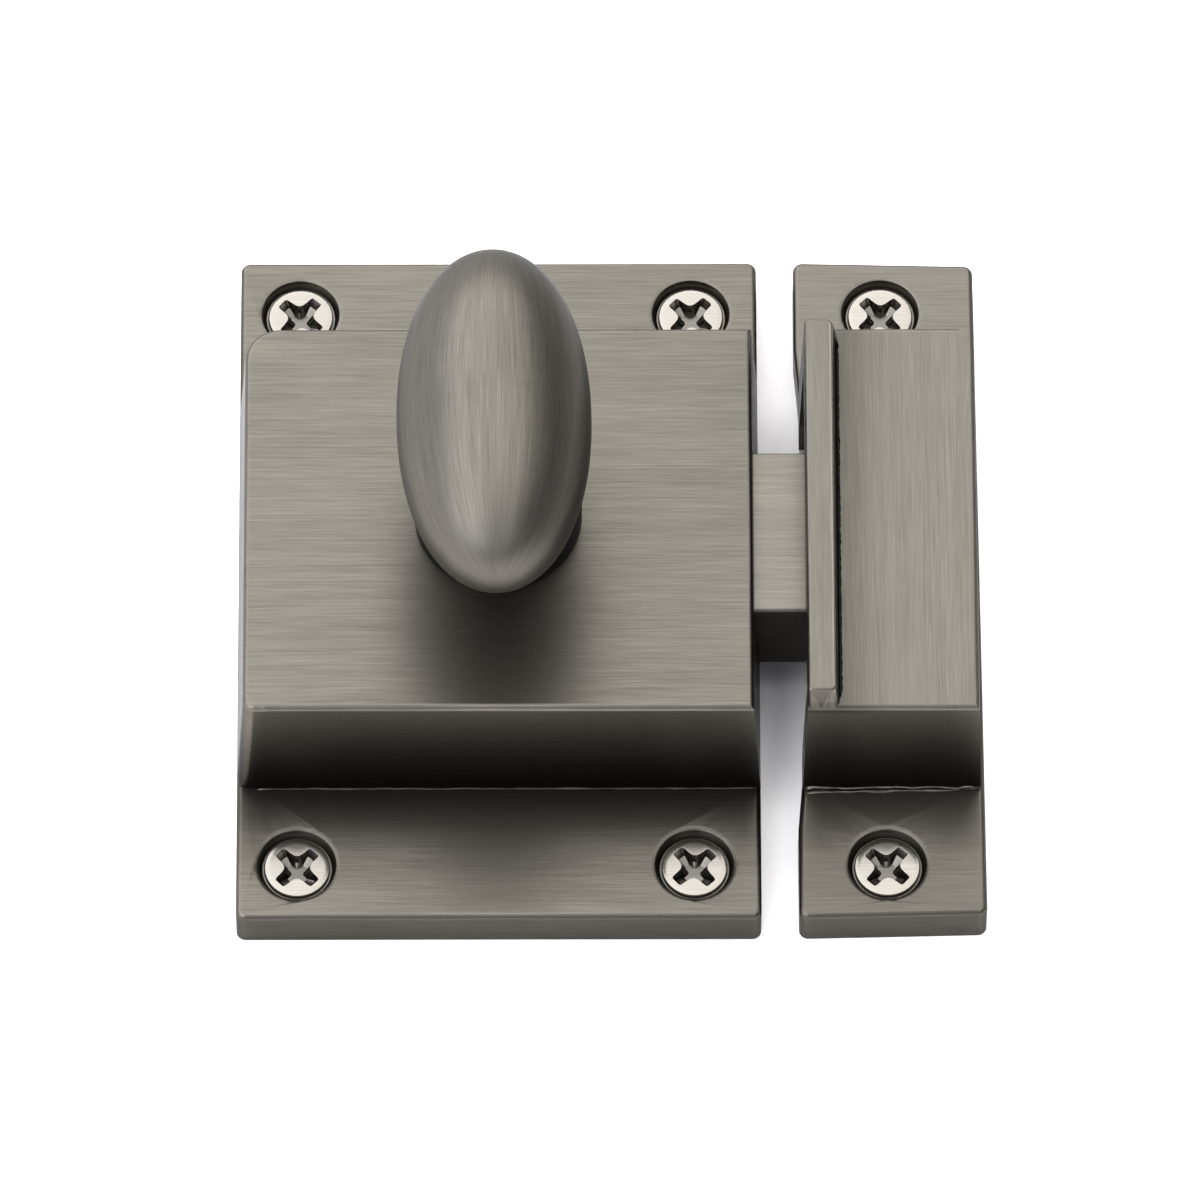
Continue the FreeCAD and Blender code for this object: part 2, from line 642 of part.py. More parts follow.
def spindle():
    """The steel shaft: round in the knob and in the case's roof, square in the crank."""
    body = new_body("spindle")
    shaft = circles(body, "shaft_outline", "XY", [("0", "0")], "spindle_radius", CRANK_TOP)
    pad(body, "shaft", shaft, f"{SPINDLE_TOP} - {CRANK_TOP}")
    top = size(SPINDLE_TOP)
    chamfer(body, "shaft_end", "spindle_chamfer", lambda e: level_at(e, top))
    half = "(crank_square / 2)"
    square = rectangle(body, "square_outline", f"0 - {half}", half, f"0 - {half}", half, CRANK_TOP)
    pad(body, "square_end", square, "crank_thick - square_gap", back=True)
    bore_radius = "(crank_screw_shank / 2 + snug_gap)"
    bore = circles(body, "screw_bore_outline", "XY", [("0", "0")], bore_radius, f"{CRANK_UNDER} + square_gap")
    pocket(body, "screw_bore", bore, "crank_screw_deep + square_gap", forward=True)
    bind(body, "Placement.Rotation.Angle", "crank_lean * 1deg")
    return body


def crank():
    """The crank: a tapering arm with a square hole for the spindle and a round one for its pin."""
    body = new_body("crank")
    pad(body, "arm", crank_outline(body), "crank_thick")
    half = "(crank_square / 2 + snug_gap)"
    square = rectangle(body, "square_hole_outline", f"0 - {half}", half, f"0 - {half}", half, CRANK_UNDER)
    pocket(body, "square_hole", square, "crank_thick", forward=True)
    eye = [("0", f"(0 - {CRANK_RADIUS})")]
    hole = circles(body, "pin_hole_outline", "XY", eye, "crank_pin_radius + snug_gap", CRANK_UNDER)
    pocket(body, "pin_hole", hole, "crank_thick", forward=True)
    bind(body, "Placement.Rotation.Angle", "crank_lean * 1deg")
    return body


def crank_outline(body):
    """Two arcs joined by their common tangents, the small one down the Y axis."""
    sketch = new_sketch(body, "arm_outline", "XY", CRANK_UNDER)
    reach = size(CRANK_RADIUS)
    hub = size("crank_hub")
    eye = size("crank_eye")
    tilt = math.asin((hub - eye) / reach)
    upwards = Vector(0, 0, 1)
    eye_centre = Vector(0, -reach, 0)
    outward = [Vector(side * math.cos(tilt), math.sin(tilt), 0) for side in (-1, 1)]
    hub_arc = Part.ArcOfCircle(Part.Circle(Vector(), upwards, hub), tilt, math.pi - tilt)
    eye_arc = Part.ArcOfCircle(Part.Circle(eye_centre, upwards, eye), math.pi - tilt, 2 * math.pi + tilt)
    left = Part.LineSegment(outward[0] * hub, eye_centre + outward[0] * eye)
    right = Part.LineSegment(eye_centre + outward[1] * eye, outward[1] * hub)
    sketch.addGeometry([hub_arc, left, eye_arc, right], False)
    for i in range(4):
        sketch.addConstraint(Sketcher.Constraint("Tangent", i, 2, (i + 1) % 4, 1))
    pin_point(sketch, 0, 3, "0", "0")
    pin_point(sketch, 2, 3, "0", f"(0 - {CRANK_RADIUS})")
    hold_radius(sketch, 0, "crank_hub")
    hold_radius(sketch, 2, "crank_eye")
    doc.recompute()
    return sketch


def crank_pin():
    """The pin pressed through the crank's eye, down into the bolt's slot."""
    body = new_body("crank_pin")
    round_pin = circles(body, "pin_outline", "XY", [("0", "0")], "crank_pin_radius")
    pad(body, "pin", round_pin, f"{CRANK_TOP} - {RECESS_FLOOR} + crank_pin_reach")
    chamfer(body, "pin_free_end", "crank_pin_edge", lambda e: level_at(e, 0.0))
    bind(body, "Placement.Base.x", PIN_PLACE_X)
    bind(body, "Placement.Base.y", f"0 - {PIN_NEAR_Y}")
    bind(body, "Placement.Base.z", f"{RECESS_FLOOR} - crank_pin_reach")
    return body


def crank_washer():
    """The thrust washer between the crank and the roof of the case."""
    body = new_body("crank_washer")
    disc = circles(body, "disc_outline", "XY", [("0", "0")], "washer_radius", CRANK_TOP)
    pad(body, "disc", disc, "washer_thick")
    eye = circles(body, "eye_outline", "XY", [("0", "0")], "spindle_radius + running_gap", CRANK_TOP)
    pocket(body, "eye", eye, "washer_thick", forward=True)
    return body


def crank_screw():
    """The screw with a slotted head that holds the crank on the spindle."""
    body = new_body("crank_screw")
    head = "(crank_screw_head / 2)"
    shank = "(crank_screw_shank / 2)"
    corners = [
        ("0", "(0 - crank_screw_rise)"),
        (f"({head} - crank_screw_rise / 3)", "(0 - crank_screw_rise)"),
        (head, "(0 - crank_screw_rise / 2)"),
        (head, "0"),
        (shank, "0"),
        (shank, "crank_screw_deep"),
        ("0", "crank_screw_deep"),
    ]
    revolve(body, "turned_form", polygon(body, "section", "XZ", corners))
    slot = rectangle(
        body, "slot_outline", f"0 - {head}", head, "0 - driver_slot / 2", "driver_slot / 2", "0 - crank_screw_rise"
    )
    pocket(body, "slot", slot, "driver_depth", forward=True)
    bind(body, "Placement.Base.z", CRANK_UNDER)
    return body


def knob():
    """The knob: an egg shaped grip on a flared neck and a round foot, with a blind bore for the spindle."""
    body = new_body("knob")
    corners = [
        ("0", f"(0 - {EGG_HALF})"),
        (EGG_JOIN_X, f"(0 - {EGG_JOIN_Y})"),
        (EGG_JOIN_X, EGG_JOIN_Y),
        ("0", EGG_HALF),
    ]
    bows = {0: "knob_tip_radius", 1: EGG_SIDE_RADIUS, 2: "knob_tip_radius"}
    revolve(body, "egg", polygon(body, "egg_outline", "XY", corners, KNOB_MIDDLE, bows))
    knob_stem(body)
    bore = circles(body, "spindle_bore_outline", "XY", [("0", "0")], "spindle_radius + snug_gap", KNOB_UNDER)
    pocket(body, "spindle_bore", bore, "spindle_hold", forward=True)
    return body


def knob_stem(body):
    """The knob's round foot and the neck that widens up into the egg."""
    foot_top = f"({KNOB_UNDER} + knob_foot_rise)"
    neck_foot = f"({foot_top} + knob_shoulder)"
    corners = [
        ("0", KNOB_UNDER),
        ("knob_foot_radius", KNOB_UNDER),
        ("knob_foot_radius", f"({foot_top} - knob_foot_edge)"),
        ("(knob_foot_radius - knob_foot_edge)", foot_top),
        ("(knob_neck_radius + knob_shoulder)", foot_top),
        ("knob_neck_radius", neck_foot),
        ("knob_neck_radius", f"({neck_foot} + knob_waist)"),
        (f"({EGG_SIDE} - knob_flare)", KNOB_MIDDLE),
        ("0", KNOB_MIDDLE),
    ]
    revolve(body, "foot_and_neck", polygon(body, "stem_outline", "XZ", corners))


def wood_screw(label, place):
    """A countersunk wood screw with a cross recess. Its fine thread is left smooth."""
    body = new_body(label)
    head = "(screw_head / 2)"
    shank = "(screw_shank / 2)"
    root = "(screw_root / 2)"
    plain_end = f"(0 - {SCREW_TOP})"
    corners = [
        ("0", "0"),
        ("0", "(0 - screw_length)"),
        (root, "(screw_point - screw_length)"),
        (root, plain_end),
        (shank, plain_end),
        (shank, f"({shank} - {head})"),
        (head, "0"),
    ]
    revolve(body, "turned_form", polygon(body, "section", "XZ", corners))
    long = "(cross_span / 2)"
    slim = "(cross_width / 2)"
    quarter = [(long, slim), (slim, slim), (slim, long)]
    outline = []
    for across, up in ((1, 1), (-1, 1), (-1, -1), (1, -1)):
        turned = [(f"({across} * {x})", f"({up} * {y})") for x, y in quarter]
        outline += turned if across * up > 0 else turned[::-1]
    pocket(body, "cross", polygon(body, "cross_outline", "XY", outline), "cross_deep")
    bind(body, "Placement.Rotation.Angle", "cross_turn * 1deg")
    bind(body, "Placement.Base.x", place[0])
    bind(body, "Placement.Base.y", place[1])
    bind(body, "Placement.Base.z", SCREW_TOP)
    return body


def keeper():
    """The cast keeper: a narrow plate with a hollow block that opens towards the bolt, and a raised lip."""
    body = new_body("keeper")
    keeper_plate(body)
    keeper_block(body)
    keeper_lip(body)
    inner = f"({KEEPER_RIGHT} - keeper_wall - keeper_lean)"
    side = "(block_crown / 2 - keeper_end_wall)"
    outer = f"({KEEPER_LEFT} - keeper_wall)"
    hollow = rectangle(body, "hollow_outline", outer, inner, f"0 - {side}", side)
    pocket(body, "hollow", hollow, KEEPER_CEILING, forward=True)
    end = size(inner)
    fillet(body, "hollow_corners", "keeper_corner", lambda e: upright(e) and abs(middle_of(e).x - end) < TINY)
    screw_holes(body, keeper_screw_places())
    return body


def keeper_plate(body):
    """The keeper's plate, a little out of square as it was finished by hand."""
    corners = [
        (KEEPER_LEFT, f"(0 - {HALF_HEIGHT})"),
        (KEEPER_RIGHT, f"(keeper_drop - {HALF_HEIGHT})"),
        (f"({KEEPER_RIGHT} - keeper_taper)", f"({HALF_HEIGHT} - keeper_drop)"),
        (KEEPER_LEFT, HALF_HEIGHT),
        (KEEPER_LEFT, "keeper_ease_end"),
        (KEEPER_MOUTH, "(block_crown / 2)"),
        (KEEPER_MOUTH, "(0 - block_crown / 2)"),
        (KEEPER_LEFT, "(0 - keeper_ease_end)"),
    ]
    pad(body, "plate", polygon(body, "plate_outline", "XY", corners), "plate_thick")
    ends = size(f"{HALF_HEIGHT} - keeper_drop")
    fillet(body, "plate_corners", "plate_corner", lambda e: upright(e) and abs(middle_of(e).y) > ends - TINY)
    face = size("plate_thick")
    fillet(body, "plate_front_edge", "plate_edge", lambda e: level_at(e, face))


def keeper_block(body):
    """The keeper's block, with the same height and drafted ends as the case's block."""
    foot = "(block_foot / 2)"
    crown = "(block_crown / 2)"
    outer = f"({KEEPER_RIGHT} - keeper_taper)"
    root = rectangle(body, "block_root_outline", KEEPER_MOUTH, outer, f"0 - {foot}", foot)
    pad(body, "block_root", root, "plate_thick")
    low = rectangle(body, "block_foot", KEEPER_MOUTH, outer, f"0 - {foot}", foot, "plate_thick")
    right = f"({KEEPER_RIGHT} - keeper_lean)"
    high = rectangle(body, "block_crown", KEEPER_FACE_LEFT, right, f"0 - {crown}", crown, CASE_TOP)
    loft(body, "block", low, high)
    top = size(CASE_TOP)
    mouth = size(KEEPER_FACE_LEFT)
    fillet(body, "block_face_edge", "block_edge", lambda e: level_at(e, top) and middle_of(e).x > mouth + TINY)


def keeper_lip(body):
    """The rounded lip along the mouth, over the tip of the bolt, a little wider at its foot."""
    lip_top = f"({CASE_TOP} + lip_rise)"
    root = lip_plan(body, "lip_root", "lip_flare", f"({CASE_TOP} - keeper_roof / 2)")
    foot = lip_plan(body, "lip_foot", "lip_flare", CASE_TOP)
    crest = lip_plan(body, "lip_crest", "0", lip_top)
    pad(body, "lip_base", root, "keeper_roof / 2")
    loft(body, "lip", foot, crest)
    top = size(lip_top)
    chamfer(body, "lip_top_edge", "lip_edge", lambda e: level_at(e, top))


def lip_plan(body, name, flare, height):
    """The lip seen from the front at one height: a long rectangle with rounded corners."""
    left = KEEPER_FACE_LEFT
    right = f"({left} + lip_width + {flare})"
    end = "(lip_length / 2)"
    corners = [
        (left, f"(lip_end - {end})"),
        (f"({left} + lip_end)", f"(0 - {end})"),
        (f"({right} - lip_end)", f"(0 - {end})"),
        (right, f"(lip_end - {end})"),
        (right, f"({end} - lip_end)"),
        (f"({right} - lip_end)", end),
        (f"({left} + lip_end)", end),
        (left, f"({end} - lip_end)"),
    ]
    return polygon(body, name, "XY", corners, height, bows={i: "lip_end" for i in (0, 2, 4, 6)})


def build():
    """Make every sub-part and return those that are pieces of their own."""
    pieces = [latch_case(), back_plate(), bolt(), bolt_spring(), spindle(), crank(), crank_pin()]
    pieces += [crank_washer(), crank_screw(), knob(), keeper()]
    pieces += [back_plate_screw(i, place) for i, place in enumerate(back_screw_places(), 1)]
    pieces += [wood_screw(f"latch_screw_{i}", place) for i, place in enumerate(latch_screw_places(), 1)]
    pieces += [wood_screw(f"keeper_screw_{i}", place) for i, place in enumerate(keeper_screw_places(), 1)]
    doc.recompute()
    return pieces


def check(pieces):
    """Stop if an object of the document failed or a piece isn't one valid solid."""
    for thing in doc.Objects:
        if "Invalid" in thing.State or "Error" in thing.State:
            raise ValueError(f"{thing.Name} failed: {thing.State}")
    for piece in pieces:
        shape = piece.Shape
        if shape.isNull() or not shape.isValid() or len(shape.Solids) != 1:
            raise ValueError(f"{piece.Label} is no single valid solid")


pieces = build()
check(pieces)
for piece in pieces:
    piece.Shape.exportStep(f"parts/{piece.Label}.step")
    print(piece.Label, round(piece.Shape.Volume, 2), "cubic mm")
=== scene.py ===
# %% [markdown]
# A cupboard catch latch, dressed for its picture. The solids come from the imported model, which is the frame: each
# piece already lies in its place, in metres, with X running from the latch to the keeper, Y along the plates and Z
# out of the mounting face. This first cell loads them and gives a helper that reads the box that one of them fills.
# The finished model may not be larger than the solids are. Sizes of the latch are written in millimetres.

# %% Load the frame
import math

import bmesh
import bpy
from mathutils import Matrix, Vector


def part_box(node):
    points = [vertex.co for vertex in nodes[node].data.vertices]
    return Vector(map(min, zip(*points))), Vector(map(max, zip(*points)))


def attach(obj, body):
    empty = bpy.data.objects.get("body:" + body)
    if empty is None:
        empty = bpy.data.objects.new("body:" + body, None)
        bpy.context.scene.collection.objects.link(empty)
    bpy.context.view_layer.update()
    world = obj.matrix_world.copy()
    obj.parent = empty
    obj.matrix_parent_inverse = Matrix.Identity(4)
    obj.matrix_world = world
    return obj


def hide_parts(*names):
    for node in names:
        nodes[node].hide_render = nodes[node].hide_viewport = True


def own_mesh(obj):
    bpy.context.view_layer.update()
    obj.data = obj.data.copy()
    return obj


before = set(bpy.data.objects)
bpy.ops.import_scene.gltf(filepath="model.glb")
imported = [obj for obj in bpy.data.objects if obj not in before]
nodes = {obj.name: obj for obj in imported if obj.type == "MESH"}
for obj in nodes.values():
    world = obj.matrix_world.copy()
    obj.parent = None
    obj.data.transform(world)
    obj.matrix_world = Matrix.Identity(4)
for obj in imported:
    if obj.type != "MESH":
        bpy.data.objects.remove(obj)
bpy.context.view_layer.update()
MM = 0.001

# %% [markdown]
# The camera stands where the photographer's stood. The place, the direction and the long lens were found by
# matching the corners of the plates in the picture. A long lens far away keeps the sides of the plates nearly
# parallel, as they are in the picture. The three directions are the columns of the camera's matrix, and a
# camera looks along its own minus Z, so the forward one goes in with its sign turned.

# %% Camera
LENS, SENSOR = 498.3, 36.0
CAMERA_PLACE = Vector((4.01, -704.86, 1235.15)) * MM
FORWARD = Vector((0.00327, 0.49608, -0.86827))
RIGHT = Vector((0.99999, -0.00311, 0.00199))
UP = Vector((0.00172, 0.86827, 0.49609))
camera_data = bpy.data.cameras.new("product_camera")
camera_data.lens = LENS
camera_data.sensor_width = SENSOR
camera_data.clip_end = 20.0
camera = bpy.data.objects.new("product_camera", camera_data)
bpy.context.scene.collection.objects.link(camera)
turned = Matrix((RIGHT, UP, -FORWARD)).transposed().to_4x4()
camera.matrix_world = Matrix.Translation(CAMERA_PLACE) @ turned
bpy.context.scene.camera = camera
print("camera", round(CAMERA_PLACE.length, 3), "m away, lens", LENS, "mm")

# %% [markdown]
# The stage is one pale sheet in the plane of the latch's back, as if the latch was fixed to a white door. It
# lies a hair behind that plane, because two faces in one plane flicker. Rough white paint has nearly no
# mirror in it, so its shine is turned down too.

# %% Floor
FLOOR_SINK = 0.15
bpy.ops.object.select_all(action="DESELECT")
bpy.ops.mesh.primitive_plane_add(size=6.0, location=(0, 0, -FLOOR_SINK * MM))
floor = bpy.context.object
floor.name = "pale_floor"
floor_paint = bpy.data.materials.new("pale_floor_paint")
floor_paint.use_nodes = True
floor_shader = floor_paint.node_tree.nodes["Principled BSDF"]
floor_shader.inputs["Base Color"].default_value = (0.95, 0.945, 0.935, 1)
floor_shader.inputs["Roughness"].default_value = 0.9
floor_shader.inputs["Specular IOR Level"].default_value = 0.2
floor.data.materials.append(floor_paint)
print("floor at", round(floor.location.z / MM, 2), "mm")

# %% [markdown]
# Brushed metal shows a blurred picture of what hangs over it, so the light is a ceiling of soft boxes that all
# face down. A photographer hangs them from a boom. The two large ones behind light the flat faces, and those in
# front light the near side of the egg and the white sheet. A lamp that spans the middle would shine into the
# gap between the two plates. So the nearer boxes come in pairs with a slit between them, and the gap keeps its
# shadow. A lamp without a rotation faces straight down, so each one needs only its place and size in metres.

# %% Soft boxes
WARM = (1.0, 0.985, 0.955)
COOL = (0.95, 0.945, 1.0)


def soft_box(name, place, width, length, power, colour):
    """A rectangular lamp that faces down and that the camera itself doesn't see."""
    lamp_data = bpy.data.lights.new(name, "AREA")
    lamp_data.shape = "RECTANGLE"
    lamp_data.size = width
    lamp_data.size_y = length
    lamp_data.energy = power
    lamp_data.color = colour
    lamp = bpy.data.objects.new(name, lamp_data)
    bpy.context.scene.collection.objects.link(lamp)
    lamp.location = place
    lamp.visible_camera = False


soft_box("soft_box_over", (-1.05, 1.3, 2.4), 6.4, 3.8, 212.0, WARM)
soft_box("soft_box_back", (-0.95, 5.4, 2.4), 6.6, 4.4, 400.0, WARM)
soft_box("soft_box_right", (3.4, 2.2, 2.4), 2.2, 5.6, 24.0, WARM)
soft_box("soft_box_middle_left", (-2.95, -1.25, 2.4), 5.1, 1.3, 80.0, WARM)
soft_box("soft_box_middle_right", (1.1, -1.25, 2.4), 1.4, 1.3, 15.0, WARM)
soft_box("soft_box_front_left", (-3.9, -3.6, 2.2), 6.4, 3.4, 270.0, COOL)
soft_box("soft_box_front_right", (1.4, -3.7, 2.2), 1.4, 3.6, 34.0, COOL)
print(len(bpy.data.lights), "soft boxes")

# %% [markdown]
# The right side of the egg is darker than its left in the photograph. A photographer gets that with a grey
# card, which stands close beside the piece and out of the picture. It takes light from one side only. Here it
# is an upright sheet, and the camera is told not to see it.

# %% Grey card
CARD_PLACE = Vector((85.0, 145.0, 21.0)) * MM
CARD_HEIGHT, CARD_LENGTH = 42.0, 410.0
card_paint = bpy.data.materials.new("grey_card_paint")
card_paint.use_nodes = True
card_shader = card_paint.node_tree.nodes["Principled BSDF"]
card_shader.inputs["Base Color"].default_value = (0.34, 0.33, 0.33, 1)
card_shader.inputs["Roughness"].default_value = 0.9
bpy.ops.mesh.primitive_plane_add(size=1.0, location=CARD_PLACE, rotation=(0, math.pi / 2, 0))
card = bpy.context.object
card.name = "grey_card"
card.scale = (CARD_HEIGHT * MM, CARD_LENGTH * MM, 1.0)
bpy.ops.object.transform_apply(location=False, rotation=True, scale=True)
card.data.materials.append(card_paint)
card.visible_camera = False
print("grey card", [round(v, 3) for v in card.dimensions], "m")

# %% [markdown]
# The room's walls give the fill light. The world's strength runs from 1.7 on the left to 0.15 on the right, so
# the left sides of the plates are pale and the right ones dark, as in a room with its window on the left.

# %% Air
AIR_LEFT, AIR_RIGHT = 1.7, 0.15
world = bpy.data.worlds.new("studio_air")
world.use_nodes = True
air = world.node_tree
air_place = air.nodes.new("ShaderNodeTexCoord")
air_split = air.nodes.new("ShaderNodeSeparateXYZ")
air_fade = air.nodes.new("ShaderNodeMapRange")
air_fade.inputs["From Min"].default_value = -0.8
air_fade.inputs["From Max"].default_value = 0.8
air_fade.inputs["To Min"].default_value = AIR_LEFT
air_fade.inputs["To Max"].default_value = AIR_RIGHT
air.links.new(air_place.outputs["Generated"], air_split.inputs["Vector"])
air.links.new(air_split.outputs["X"], air_fade.inputs["Value"])
air.links.new(air_fade.outputs["Result"], air.nodes["Background"].inputs["Strength"])
air.nodes["Background"].inputs["Color"].default_value = (0.90, 0.91, 1.05, 1)
bpy.context.scene.world = world
bpy.context.scene.view_settings.view_transform = "Standard"
print("air from", AIR_LEFT, "on the left to", AIR_RIGHT, "on the right")

# %% [markdown]
# Every metal here is a small network of nodes, and the same few steps come again in each. So they are written
# once as helpers: a sum or product of two values, a soft step from 0 to 1, a mix of two values, the piece's own
# place, and how far the surface faces up. A value may be a number or the output of another node.

# %% Material tools
def tree_of(name):
    """A new material, its node tree and its shader."""
    material = bpy.data.materials.new(name)
    material.use_nodes = True
    tree = material.node_tree
    return material, tree, tree.nodes["Principled BSDF"]


def feed(tree, item, socket):
    """Gives a socket a number or the output of another node."""
    if isinstance(item, (int, float)):
        socket.default_value = item
    else:
        tree.links.new(item, socket)


def value_of(tree, kind, *items):
    """A math node on one or two values."""
    node = tree.nodes.new("ShaderNodeMath")
    node.operation = kind
    for item, socket in zip(items, node.inputs):
        feed(tree, item, socket)
    return node.outputs[0]


def times(tree, first, *others):
    """The product of two or more values."""
    for other in others:
        first = value_of(tree, "MULTIPLY", first, other)
    return first


def ramp(tree, source, low, high):
    """0 below low, 1 above high, and smooth between them."""
    node = tree.nodes.new("ShaderNodeMapRange")
    node.interpolation_type = "SMOOTHSTEP"
    node.inputs["From Min"].default_value = low
    node.inputs["From Max"].default_value = high
    tree.links.new(source, node.inputs["Value"])
    return node.outputs["Result"]


def fall(tree, source, low, high):
    """1 below low, 0 above high, and smooth between them."""
    return value_of(tree, "SUBTRACT", 1.0, ramp(tree, source, low, high))


def mixed(tree, share, first, second):
    """First where the share is 0 and second where it is 1."""
    node = tree.nodes.new("ShaderNodeMix")
    for name, item in (("Factor", share), ("A", first), ("B", second)):
        feed(tree, item, node.inputs[name])
    return node.outputs["Result"]


def parts_of(tree, output):
    """The three parts of one of the piece's own coordinates."""
    place = tree.nodes.new("ShaderNodeTexCoord")
    split = tree.nodes.new("ShaderNodeSeparateXYZ")
    tree.links.new(place.outputs[output], split.inputs["Vector"])
    return split.outputs


def place_parts(tree):
    """The piece's own X, Y and Z in millimetres."""
    return [times(tree, part, 1.0 / MM) for part in parts_of(tree, "Object")]


def facing_up(tree):
    """1 on a face that looks up, 0 on an upright one and -1 on one that looks down."""
    return parts_of(tree, "Normal")[2]


print("material tools ready")

# %% [markdown]
# The finish is brushed pewter plating with a dark patina that was rubbed back. All the streaks of one brush
# lie along one direction, so the colour, the roughness and the tiny relief all read the same stretched noise.
# Noise that is stretched far along one axis looks like the trace of a brush. A real brush leaves fine, middle
# and broad streaks at once, and so four noises are added up.

# %% Brush
BRUSH = ((4.5, 0.07, 0.75), (14.0, 0.15, 0.36), (30.0, 1.4, 0.24), (14.0, 9.0, 0.16))
EDGE_TINT = (0.45, 0.46, 0.48, 1)
PEWTER = (0.0968, 0.0905, 0.0765)


def streaks(tree, lengths, turn=0.0, place=None):
    """Noise between -0.5 and 0.5, whose grains have these three lengths in the piece's own coordinates."""
    place = place or tree.nodes.new("ShaderNodeTexCoord").outputs["Object"]
    mapping = tree.nodes.new("ShaderNodeMapping")
    mapping.inputs["Rotation"].default_value = (0, 0, math.radians(turn))
    mapping.inputs["Scale"].default_value = [1.0 / (length * MM) for length in lengths]
    noise = tree.nodes.new("ShaderNodeTexNoise")
    noise.inputs["Scale"].default_value = 1.0
    noise.inputs["Detail"].default_value = 3.0
    noise.inputs["Roughness"].default_value = 0.6
    tree.links.new(place, mapping.inputs["Vector"])
    tree.links.new(mapping.outputs["Vector"], noise.inputs["Vector"])
    return value_of(tree, "SUBTRACT", noise.outputs["Fac"], 0.5)


def brush_lines(tree, axis, turn=0.0, place=None):
    """The sum of the brush's streaks along one axis. Each of BRUSH is a length, a width and a weight."""
    total = None
    for length, width, weight in BRUSH:
        lengths = [width, width, width]
        lengths[axis] = length
        layer = times(tree, streaks(tree, lengths, turn, place), weight)
        total = layer if total is None else value_of(tree, "ADD", total, layer)
    return total


def brushed(tree, shader, colour, grain, patina_and_shade=1.0, roughness=0.32, contrast=1.0):
    """Links the streaks of the brush to the shader's colour, roughness and relief."""
    shader.inputs["Metallic"].default_value = 1.0
    shader.inputs["Specular Tint"].default_value = EDGE_TINT
    tone = value_of(tree, "ADD", times(tree, grain, contrast), 1.0)
    toned = tree.nodes.new("ShaderNodeVectorMath")
    toned.operation = "SCALE"
    toned.inputs[0].default_value = colour
    # The colour is multiplied by the factor passed in, which holds painted shade and highlights as well as patina.
    tree.links.new(times(tree, tone, patina_and_shade), toned.inputs["Scale"])
    tree.links.new(toned.outputs["Vector"], shader.inputs["Base Color"])
    rough = value_of(tree, "ADD", times(tree, grain, -0.2), roughness)
    tree.links.new(rough, shader.inputs["Roughness"])
    bump = tree.nodes.new("ShaderNodeBump")
    bump.inputs["Distance"].default_value = 0.002 * MM
    bump.inputs["Strength"].default_value = 1.0
    tree.links.new(grain, bump.inputs["Height"])
    tree.links.new(bump.outputs["Normal"], shader.inputs["Normal"])


print("brush with", len(BRUSH), "layers of streaks")

# %% [markdown]
# The case was brushed along X. Its colour also holds painted light: the block's sides are painted bright at the top
# and dark towards the foot, and the plate in front of the block is painted dark near the foot as shade and as the
# block's shadow, over a little dark patina in that corner.
# This is worked out from the height on the block's sides and from the distance in front of the block's foot. The
# plate is also painted a little lighter on the left than on the right.

# %% Case material
PLATE_TOP, BLOCK_TOP, BLOCK_FOOT = 3.9, 15.7, 19.8


def corner_shade_and_patina(tree, least, start, full):
    """Painted shade and shadow, with some patina, where the block meets the plate: least on its side, start to full
    along the plate in front of it. The tops of the sides are painted brighter, as a highlight.
    """
    _, y, z = place_parts(tree)
    # Painted shadow of the block: it falls only on the plate in front of the block.
    front = ramp(tree, times(tree, y, -1.0), 0.0, 1.0)
    away = value_of(tree, "SUBTRACT", value_of(tree, "ABSOLUTE", y), BLOCK_FOOT)
    along_plate = mixed(tree, ramp(tree, away, -0.6, 11.0), start, full)
    along_plate = mixed(tree, front, 1.0, along_plate)
    flat = mixed(tree, ramp(tree, z, PLATE_TOP + 0.05, PLATE_TOP + 0.4), along_plate, 1.0)
    # Painted shade and highlight on the block's sides: dark at the foot, brighter than the metal at the top.
    up_wall = mixed(tree, ramp(tree, z, PLATE_TOP, BLOCK_TOP - 0.1), least, 1.12)
    side = mixed(tree, ramp(tree, z, PLATE_TOP - 0.1, PLATE_TOP + 0.4), 0.72, up_wall)
    return mixed(tree, ramp(tree, value_of(tree, "ABSOLUTE", facing_up(tree)), 0.55, 0.97), side, flat)


case_metal, tree, shader = tree_of("case_brushed_pewter")
x, _, _ = place_parts(tree)
# Painted light: the plate is a little lighter on the left than on the right.
painted_light_left_to_right = mixed(tree, ramp(tree, x, -20.0, 24.0), 1.02, 0.94)
case_patina_and_shade = times(tree, corner_shade_and_patina(tree, 0.37, 0.4, 0.99), painted_light_left_to_right)
brushed(tree, shader, PEWTER, brush_lines(tree, 0), case_patina_and_shade, contrast=1.25)
print("case material has", len(tree.nodes), "nodes")

# %% [markdown]
# The keeper has the same plating, but its face was brushed along Y, with the grain of its lip, and its plate at a
# slant. Its colour also holds painted light: painted shade on the face beside the lip, a near black line of dirt and
# painted shade in the groove at the lip's foot, and a painted highlight, nearly white, on the lip's worn outer top
# edge.
# Its plate in front of the block gets the same painted shade and patina as the case. Each of these is a product of
# ramps in X, Y and Z, which is 1 inside its own region and 0 outside. That costs no image and stays sharp in a close
# view.

# %% Keeper material
LIP_LEFT, LIP_RIGHT, LIP_FOOT, LIP_TOP = 26.1, 28.5, 28.87, 18.0
GROOVE_END = 16.9
PLATE_SLANT = 24.0
keeper_metal, tree, shader = tree_of("keeper_brushed_pewter")
x, y, z = place_parts(tree)
on_face = ramp(tree, z, BLOCK_TOP - 1.1, BLOCK_TOP - 0.5)
keeper_grain = mixed(tree, on_face, brush_lines(tree, 0, PLATE_SLANT), brush_lines(tree, 1))
